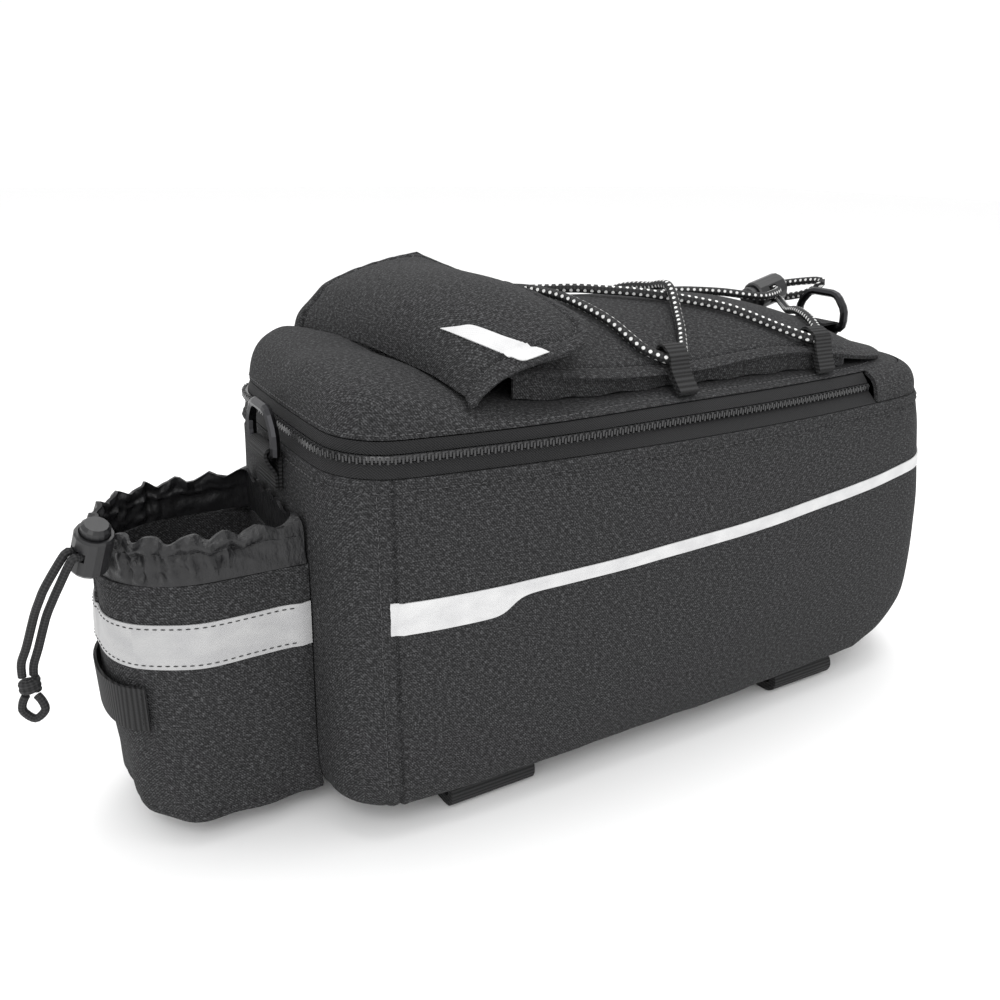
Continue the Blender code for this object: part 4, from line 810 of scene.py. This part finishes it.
@dataclass
class Zip:
    """The zip's tapes, teeth, slider and pull."""

    shop: Workshop
    teeth_z: float = 0.16019
    pitch: float = 0.00135
    end_x: float = 0.134
    tooth: tuple[float, float, float] = (0.00072, 0.0014, 0.0022)
    stagger: float = 0.00034

    def build(self) -> None:
        """Makes the two tapes, the teeth on the coil, the slider and its pull."""
        shop = self.shop
        for node in ("zip_tape_lower", "zip_tape_upper"):
            shop.sew(node + "_cloth", node, shop.paint.tape, "zip_tape", 2)
        shop.dress("zip_coil", shop.paint.coil)
        coil = bmesh.new()
        coil.from_mesh(shop.nodes["zip_coil"].data)
        shop.skins["coil"] = BVHTree.FromBMesh(coil)
        coil.free()
        line = shop.around("coil", self.teeth_z, self.end_x)
        made = bmesh.new()
        for count, (place, way) in enumerate(spaced(line, self.pitch)):
            turn = way.to_track_quat("X", "Z").to_matrix().to_4x4()
            shift = Vector((0.0, 0.0, self.stagger if count % 2 else -self.stagger))
            size = Matrix.Diagonal((*self.tooth, 1.0))
            bmesh.ops.create_cube(made, size=1.0, matrix=Matrix.Translation(place + shift) @ turn @ size)
        shop.hand_over("zip_teeth", made, shop.paint.coil, "zip_coil")
        self.slider()

    def slider(self) -> None:
        """The slider's rounded body with its bridge, and the webbing pull."""
        shop = self.shop
        low, high = (Vector(corner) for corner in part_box("zip_slider"))
        middle, size = (low + high) / 2, high - low
        made = bmesh.new()
        bridge = middle + Vector((0.0, size.y * 0.55, 0.0)), (0.006, 0.0016, 0.0022), 0.0005, 2
        for place, sides, offset, segments in ((middle, size, 0.0008, 3), bridge):
            matrix = Matrix.Translation(place) @ Matrix.Diagonal((*sides, 1.0))
            corners = set(bmesh.ops.create_cube(made, size=1.0, matrix=matrix)["verts"])
            edges = [edge for edge in made.edges if set(edge.verts) <= corners]
            bmesh.ops.bevel(
                made, geom=edges, offset=offset, segments=segments, affect="EDGES", profile=0.5, material=-1
            )
        shop.hand_over("zip_slider_body", made, shop.paint.metal, "metal", ["zip_slider"])
        shop.sew("zip_pull_webbing", "zip_pull", shop.paint.webbing, "webbing", hard=1.0)


@dataclass
class LidPocket:
    """The pocket on the lid: its panel, gussets, flap and patch."""

    shop: Workshop
    flap_edge_x: float = -0.0221
    flap_half: float = 0.067
    middle_y: float = -0.0002
    corner: float = 0.015
    hem: float = 0.0052
    panel_half: float = 0.0604
    panel_hem: float = 0.0045

    def flap_inset(self, co: Vector) -> float:
        """How far a place of the flap lies in from its free edge, seen from above."""
        side = self.flap_half - abs(co.y - self.middle_y)
        end = self.flap_edge_x - co.x
        if side < self.corner and end < self.corner:
            return self.corner - math.hypot(self.corner - side, self.corner - end)
        return min(side, end)

    def flap_move(self, co: Vector, normal: Vector) -> Vector:
        """The flap's hem and its slight waves."""
        inset = self.flap_inset(co)
        roll = 0.0008 * smooth_step((self.hem - inset) / 0.0012) - 0.0009 * bump_at(inset, self.hem, 0.0010)
        wave = noise.noise(co * 24.0) * 0.0009 + noise.noise(co * 60.0) * 0.0003
        pucker = 0.00022 * math.sin((co.x + co.y) * 700.0) * bump_at(inset, self.hem, 0.004)
        sink = 0.0034 * smooth_step((-0.084 - co.x) / 0.010) * smooth_step((co.y - 0.010) / 0.03)
        return normal * (roll if normal.z > 0 else 0.0) + Vector((0.0, 0.0, wave + pucker - sink))

    def panel_move(self, co: Vector, normal: Vector) -> Vector:
        """The panel's hem along its eaves and its slight waves."""
        inset = self.panel_half - abs(co.y - self.middle_y)
        roll = 0.0007 * smooth_step((self.panel_hem - inset) / 0.0012)
        roll -= 0.0009 * bump_at(inset, self.panel_hem, 0.0010)
        wave = noise.noise(co * 20.0) * 0.0006 + noise.noise(co * 55.0) * 0.0002
        wave *= smooth_step((0.150 - co.x) / 0.03)
        return Vector((0.0, 0.0, wave)) + (normal * roll if normal.z > 0 and co.x < 0.13 else Vector())

    def build(self) -> None:
        """Makes the panel, its gussets, the flap, the patch and the stitches."""
        shop = self.shop
        cloth = shop.paint.cloth
        shop.sew("panel_cloth", "pocket_panel", cloth, "fabric", move=self.panel_move)
        for side in ("near", "far"):
            name, node = f"gusset_cloth_{side}", f"pocket_gusset_{side}"
            shop.sew(name, node, cloth, "fabric", move=lambda co, way: way * 0.0005 * math.sin(co.x * 260.0))
        cover = shop.sew("flap_cloth", "flap", cloth, "fabric", move=self.flap_move)
        film = shop.sew(
            "flap_patch_film", "flap_patch", shop.paint.film, "reflective",
            hard=1.0, skin="flap_cloth", gap=0.00015,
        )
        thread = Stitches(shop, "pocket_stitches")
        turn_x, reach = self.flap_edge_x - self.corner, self.corner - self.hem
        rim = [(x, self.middle_y - self.flap_half + self.hem) for x in span(-0.075, turn_x, 20)]
        for side, angles in ((-1, span(-90, 0, 8)), (1, span(0, 90, 8))):
            turn_y = self.middle_y + side * (self.flap_half - self.corner)
            rim += [
                (turn_x + reach * math.cos(math.radians(a)), turn_y + reach * math.sin(math.radians(a)))
                for a in angles
            ]
        rim += [(x, self.middle_y + self.flap_half - self.hem) for x in span(turn_x, -0.085, 20)]
        thread.row(shop.down("flap_cloth", rim))
        for side in (-1, 1):
            y = self.middle_y + side * (self.panel_half - self.panel_hem)
            thread.row(shop.down("panel_cloth", [(x, y) for x in span(-0.055, 0.128, 60)]))
        thread.done(shop.paint.grey_thread)


@dataclass
class BottlePocket:
    """The bottle pocket, its reflective band, light loop and gathered collar."""

    shop: Workshop
    axis_x: float = -0.1691
    axis_y: float = -0.0002
    rim_z: float = 0.11235
    collar_height: float = 0.018
    gathers: float = 34.0

    def radial(self, co: Vector) -> Vector:
        """The level direction away from the bottle's axis; it fades out along the tub's wall."""
        way = Vector((co.x - self.axis_x, co.y - self.axis_y, 0.0)).normalized()
        return way * (1.0 - smooth_step((co.x + 0.150) / 0.014))

    def cloth_move(self, co: Vector, _: Vector) -> Vector:
        """The pocket's soft folds."""
        around = math.atan2(co.y - self.axis_y, co.x - self.axis_x)
        height = (co.z - 0.0104) / 0.102
        fold = noise.noise(Vector((around * 1.6, co.z * 26.0, 5.0))) * 0.0018
        fold += noise.noise(co * 70.0) * 0.0004
        crease = 0.0009 * math.sin(around * 9.0 + co.z * 40.0) * smooth_step((0.25 - height) / 0.25)
        seam = -0.0008 * bump_at(co.z, 0.0150, 0.0009)
        side = 1.0 if co.y > 0.0 else -1.0
        edge = (0.0009 * bump_at(co.x, -0.1390, 0.0014) - 0.0008 * bump_at(co.x, -0.1416, 0.0009)) * side
        edge *= smooth_step((abs(co.y) - 0.034) / 0.002)
        swell = fold * smooth_step(height / 0.08) + crease + seam
        return self.radial(co) * swell + Vector((0.0, edge, 0.0))

    def collar_move(self, co: Vector, normal: Vector) -> Vector:
        """The collar's gathers and the tunnel of its drawcord."""
        share = (co.z - self.rim_z) / self.collar_height
        around = math.atan2(co.y - self.axis_y, co.x - self.axis_x)
        phase = around * self.gathers + 2.6 * noise.noise(Vector((around * 3.0, share * 0.6, 1.0)))
        deep = 0.6 + 0.6 * noise.noise(Vector((around * 5.0, 0.0, 7.0)))
        gather = 0.0013 * deep * math.sin(phase + share * 1.6) * smooth_step(share / 0.25)
        ripple = noise.noise(Vector((around * 6.0 + share * 2.5, share * 3.0, 2.0)))
        gather += 0.0016 * ripple * smooth_step(share / 0.3)
        way = self.radial(co)
        tunnel = 0.0014 * bump_at(share, 0.86, 0.13) * (1.0 if normal.dot(way) > 0 else -0.4)
        pinch = -0.0008 * bump_at(share, 0.66, 0.05)
        rise = 0.0016 * math.sin(phase * 0.5 + 1.0) * smooth_step((share - 0.3) / 0.7)
        return way * (gather + tunnel + pinch - 0.0012 * share) + Vector((0.0, 0.0, rise - 0.0010 * share))

    def front(self, skin: str, height: float, lift: float = THREAD_LIFT) -> list[Vector]:
        """The pocket's outline at a height, from the near side round its front to the far side."""
        rays = [((x, -0.2, height), (0, 1, 0)) for x in span(-0.138, self.axis_x, 8)]
        for angle in span(-95, -265, 60):
            way = Vector((math.cos(math.radians(angle)), math.sin(math.radians(angle)), 0.0))
            rays.append((Vector((self.axis_x, self.axis_y, height)) + way * 0.2, -way))
        rays += [((x, 0.2, height), (0, -1, 0)) for x in span(self.axis_x, -0.138, 8)]
        return self.shop.hits(skin, rays, lift)

    def build(self) -> None:
        """Makes the pocket, its band, its light loop, its collar and the stitches."""
        shop = self.shop
        under = "bottle_pocket_cloth"
        shop.sew(under, "bottle_pocket", shop.paint.cloth, "fabric", move=self.cloth_move)
        shop.sew(
            "pocket_band_film", "pocket_band", shop.paint.band, "reflective", hard=1.0, skin=under, gap=0.0002
        )
        shop.sew("light_loop_webbing", "light_loop", shop.paint.light_loop, "webbing", hard=1.0)
        nylon = shop.sew("collar_nylon", "pocket_collar", shop.paint.nylon, "nylon", move=self.collar_move)
        thread = Stitches(shop, "bottle_pocket_stitches")
        low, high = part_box("pocket_band")[0][2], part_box("pocket_band")[1][2]
        for height in (low + 0.0016, high - 0.0016):
            thread.row(self.front("pocket_band_film", height, 0.00005))
        thread.row(self.front(under, self.rim_z - 0.0035))
        thread.row(self.front("collar_nylon", self.rim_z + 0.0120), 0.0026)
        low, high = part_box("light_loop")
        for y in (low[1] + 0.0015, high[1] - 0.0015):
            rays = [((-0.3, y, z), (1, 0, 0)) for z in span(low[2] + 0.002, high[2] - 0.002, 8)]
            thread.row(shop.hits("light_loop_webbing", rays), 0.0020, 0.0016)
        thread.done(shop.paint.thread)


@dataclass
class Trim:
    """The side stripes, the webbing loops, the ring tabs and the rack straps."""

    shop: Workshop

    def build(self) -> None:
        """Makes each one from its CAD solid."""
        shop = self.shop
        for side in ("near", "far"):
            name, node = f"side_stripe_film_{side}", f"side_stripe_{side}"
            shop.sew(name, node, shop.paint.film, "reflective", hard=1.0, skin="tub_cloth", gap=0.00015)
        webbed = ["near_loop_a", "near_loop_b", "far_loop_a", "far_loop_b"]
        webbed += ["d_ring_tab_hinge_end", "d_ring_tab_pocket_end"]
        webbed += [f"strap_roll_{place}_{side}" for place in ("front", "rear") for side in ("near", "far")]
        for node in webbed:
            levels = 2 if node.startswith("strap") else 3
            shop.sew(node + "_webbing", node, shop.paint.webbing, "webbing", levels, hard=1.1)


@dataclass
class Cords:
    """The elastic cord on the lid, the pocket's drawcord and their locks."""

    shop: Workshop
    bungee_radius: float = 0.0021
    drawcord_radius: float = 0.0015
    step: float = 0.0024

    def bungee(self) -> None:
        """The laced elastic cord, one closed length."""
        route = smooth_route(metres(BUNGEE_ROUTE), self.step, closed=True)
        made = tube(route, self.bungee_radius, Vector((0, 0, 1)), True)
        finish = self.shop.paint.bungee
        self.shop.hand_over("bungee_cord_braid", made, finish, "cord", ["bungee_cord"], mapped=True)

    def strand(self, name: str, node: str, spots: Sequence) -> bpy.types.Object:
        """One hanging length of the drawcord.

        Args:
            name: the piece's name.
            node: the CAD node that it stands for.
            spots: the route in millimetres.

        Returns:
            The piece.
        """
        route = smooth_route(metres(spots), 0.0015)
        made = tube(route, self.drawcord_radius, Vector((0.3, 1, 0)), False)
        piece = self.shop.hand_over(name, made, self.shop.paint.drawcord, "cord", [node], mapped=True)
        length = sum((b - a).length for a, b in zip(route, route[1:]))
        return piece

    def knot(self) -> bpy.types.Object:
        """The two wraps of the knot."""
        middle = Vector(KNOT_PLACE) * 0.001
        route = []
        steps, turns, wide, tall = 44, 2.1, 0.0023, 0.0044
        for k in range(steps + 1):
            angle = 2 * math.pi * turns * k / steps
            rise = (k / steps - 0.5) * tall
            route.append(middle + Vector((wide * math.cos(angle), wide * math.sin(angle), rise)))
        made = tube(route, self.drawcord_radius * 1.02, Vector((0, 0, 1)), False)
        finish = self.shop.paint.drawcord
        return self.shop.hand_over("drawcord_knot_wraps", made, finish, "cord", ["drawcord_knot"], mapped=True)

    def build(self) -> None:
        """Makes the cords and dresses the locks."""
        shop = self.shop
        self.bungee()
        knot = self.knot()
        tail = smooth_route(metres(TAIL_ROUTE), 0.0010)
        made = tube(tail, self.drawcord_radius, Vector((0.4, 1, 0)), False)
        finish = shop.paint.drawcord
        loop = shop.hand_over("drawcord_end_loop", made, finish, "cord", ["drawcord_loop"], mapped=True)
        self.strand("drawcord_strand_upper", "drawcord_upper", UPPER_ROUTE)
        self.strand("drawcord_strand_lower", "drawcord_lower", LOWER_ROUTE)
        for lock in ("bungee_lock", "drawcord_lock"):
            for part in ("barrel", "plunger"):
                shop.dress(f"{lock}_{part}", shop.paint.plastic)
        for ring in ("d_ring_hinge_end", "d_ring_pocket_end"):
            shop.dress(ring, shop.paint.metal)


# Middle lines of the cords in millimetres, as the CAD cords run.
KNOT_PLACE = (-234.6, -21.2, 79.85)
UPPER_ROUTE = (
    (-201.3, -18.9, 130.1), (-209.1, -23.2, 130.1), (-215.1, -26.6, 130.1), (-217.3, -27.8, 130.1),
    (-224.6, -28.2, 120.1), (-227.4, -26.3, 113.9), (-229.7, -24.2, 107.6), (-233.5, -22.7, 96.1),
    (-236.0, -21.7, 89.6), (-236.5, -21.2, 84.0),
)
LOWER_ROUTE = (
    (-199.8, -21.9, 128.6), (-207.5, -26.2, 128.6), (-213.5, -29.5, 128.6), (-215.7, -30.7, 128.6),
    (-220.8, -28.2, 118.6), (-223.5, -26.1, 112.5), (-226.1, -24.2, 106.1), (-229.9, -22.7, 94.6),
    (-232.2, -21.7, 88.1), (-232.8, -21.2, 84.0),
)
TAIL_ROUTE = (
    (-236.4, -20.4, 75.8), (-237.8, -19.8, 72.8), (-238.0, -19.7, 69.3), (-234.6, -21.2, 66.1),
    (-231.2, -22.7, 69.3), (-231.4, -22.6, 72.8), (-232.8, -22.0, 75.8),
)
BUNGEE_ROUTE = (
    (-37.5, 57.0, 198.6), (-42.1, 57.8, 198.0), (-46.7, 57.0, 198.6), (-52.1, 50.8, 200.2),
    (-44.1, 43.8, 199.9), (-34.2, 39.4, 199.6), (-24.1, 32.8, 200.0), (-19.0, 21.0, 202.7),
    (-15.1, 7.8, 204.5), (-10.1, -3.3, 204.4), (-5.1, -14.2, 202.8), (-0.3, -26.7, 199.3),
    (3.9, -38.2, 194.7), (9.4, -51.7, 186.4), (16.3, -58.8, 182.6), (20.9, -59.6, 182.0),
    (25.5, -58.8, 182.6), (32.4, -50.2, 186.5), (37.4, -42.7, 191.3), (42.4, -34.2, 195.6),
    (46.5, -26.3, 201.2), (49.9, -18.2, 205.3), (52.4, -9.7, 205.0), (53.9, -0.2, 203.0),
    (53.9, 11.4, 201.7), (53.4, 23.8, 199.1), (53.2, 37.2, 194.1), (53.9, 48.8, 188.1),
    (61.3, 58.2, 185.2), (65.9, 59.0, 184.6), (70.5, 58.2, 185.2), (77.9, 47.8, 189.3),
    (87.0, 40.6, 192.0), (97.9, 32.8, 194.2), (109.0, 24.9, 194.5), (119.9, 17.8, 194.0),
    (128.9, 11.7, 192.9), (137.9, 8.8, 192.0), (150.0, 12.6, 192.2), (159.8, 18.8, 192.8),
    (159.8, 28.8, 192.8), (159.8, 38.3, 192.8), (170.8, 42.8, 190.8), (183.8, 33.8, 193.8),
    (188.8, 17.8, 196.8), (187.3, 12.8, 195.8), (184.5, 19.8, 190.0), (180.0, 32.8, 186.0),
    (171.0, 40.8, 185.0), (161.0, 38.3, 188.0), (161.0, 28.8, 188.0), (161.0, 18.8, 188.0),
    (153.7, 7.9, 187.1), (144.9, -4.2, 186.4), (138.7, -14.3, 188.2), (132.9, -24.2, 188.7),
    (126.2, -35.7, 187.8), (119.9, -46.2, 185.3), (111.5, -58.3, 184.0), (106.9, -59.1, 183.4),
    (102.3, -58.3, 184.0), (90.4, -47.2, 188.9), (82.9, -40.5, 192.4), (73.9, -33.2, 196.0),
    (62.4, -25.5, 198.6), (49.9, -17.7, 200.7), (37.8, -10.5, 202.3), (25.9, -3.2, 203.0),
    (14.6, 4.6, 203.4), (3.9, 12.8, 202.7), (-6.6, 21.6, 201.7), (-16.1, 30.8, 199.8),
    (-23.9, 41.0, 196.9), (-30.1, 49.8, 194.5),
)


@dataclass
class Studio:
    """The camera, the pale floor and the soft lights."""

    place: tuple[float, float, float] = (-0.240501, -0.356089, 0.262816)
    yaw: float = 30.9107
    pitch: float = 20.4886
    roll: float = 1.1445
    lens: float = 33.785
    sensor: float = 36.0

    def camera(self) -> None:
        """Sets the photograph's camera."""
        yaw, pitch, roll = (math.radians(angle) for angle in (self.yaw, self.pitch, self.roll))
        forward = Vector((math.sin(yaw) * math.cos(pitch), math.cos(yaw) * math.cos(pitch), -math.sin(pitch)))
        right = forward.cross(Vector((0, 0, 1))).normalized()
        up = right.cross(forward)
        across = right * math.cos(roll) + up * math.sin(roll)
        upward = up * math.cos(roll) - right * math.sin(roll)
        lens = bpy.data.cameras.new("photo_camera")
        lens.lens, lens.sensor_width, lens.sensor_fit = self.lens, self.sensor, "HORIZONTAL"
        lens.clip_start = 0.01
        camera = bpy.data.objects.new("photo_camera", lens)
        turn = Matrix((across, upward, -forward)).transposed().to_4x4()
        camera.matrix_world = Matrix.Translation(Vector(self.place)) @ turn
        bpy.context.scene.collection.objects.link(camera)
        bpy.context.scene.camera = camera

    def light(self, name: str, place: Sequence[float], size: float, power: float) -> None:
        """A square soft light that looks at the bag's middle."""
        lamp = bpy.data.lights.new(name, "AREA")
        lamp.size, lamp.energy = size, power
        piece = bpy.data.objects.new(name, lamp)
        way = Vector((0.03, 0.0, 0.09)) - Vector(place)
        turn = way.to_track_quat("-Z", "Y").to_matrix().to_4x4()
        piece.matrix_world = Matrix.Translation(Vector(place)) @ turn
        bpy.context.scene.collection.objects.link(piece)

    def build(self) -> None:
        """Sets the camera, the white surroundings, the floor and the lights."""
        self.camera()
        world = bpy.data.worlds.new("white_room")
        world.use_nodes = True
        ground = world.node_tree.nodes["Background"]
        ground.inputs["Color"].default_value = (1.0, 1.0, 1.0, 1.0)
        ground.inputs["Strength"].default_value = 1.02
        bpy.context.scene.world = world
        bpy.context.scene.view_settings.view_transform = "Standard"
        made = bmesh.new()
        bmesh.ops.create_grid(made, x_segments=1, y_segments=1, size=6.0)
        data = bpy.data.meshes.new("floor")
        made.to_mesh(data)
        made.free()
        paint = Paint("pale_floor")
        paint.surface(Base_Color=(0.97, 0.97, 0.97, 1.0), Roughness=0.9)
        data.materials.append(paint.material)
        floor = bpy.data.objects.new("floor", data)
        bpy.context.scene.collection.objects.link(floor)
        self.light("key_light", (-0.9, -1.3, 1.5), 1.2, 12.0)
        self.light("top_light", (0.3, 0.2, 1.8), 1.2, 14.0)


def main() -> None:
    """Builds the bag's sub-assemblies in order."""
    logging.basicConfig(level=logging.INFO, format="%(name)s %(message)s")
    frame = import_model()
    shop = Workshop(frame)
    Studio().build()
    Cords(shop).build()
    Body(shop).build()
    Zip(shop).build()
    LidPocket(shop).build()
    BottlePocket(shop).build()
    Trim(shop).build()


if __name__ == "__main__":
    main()
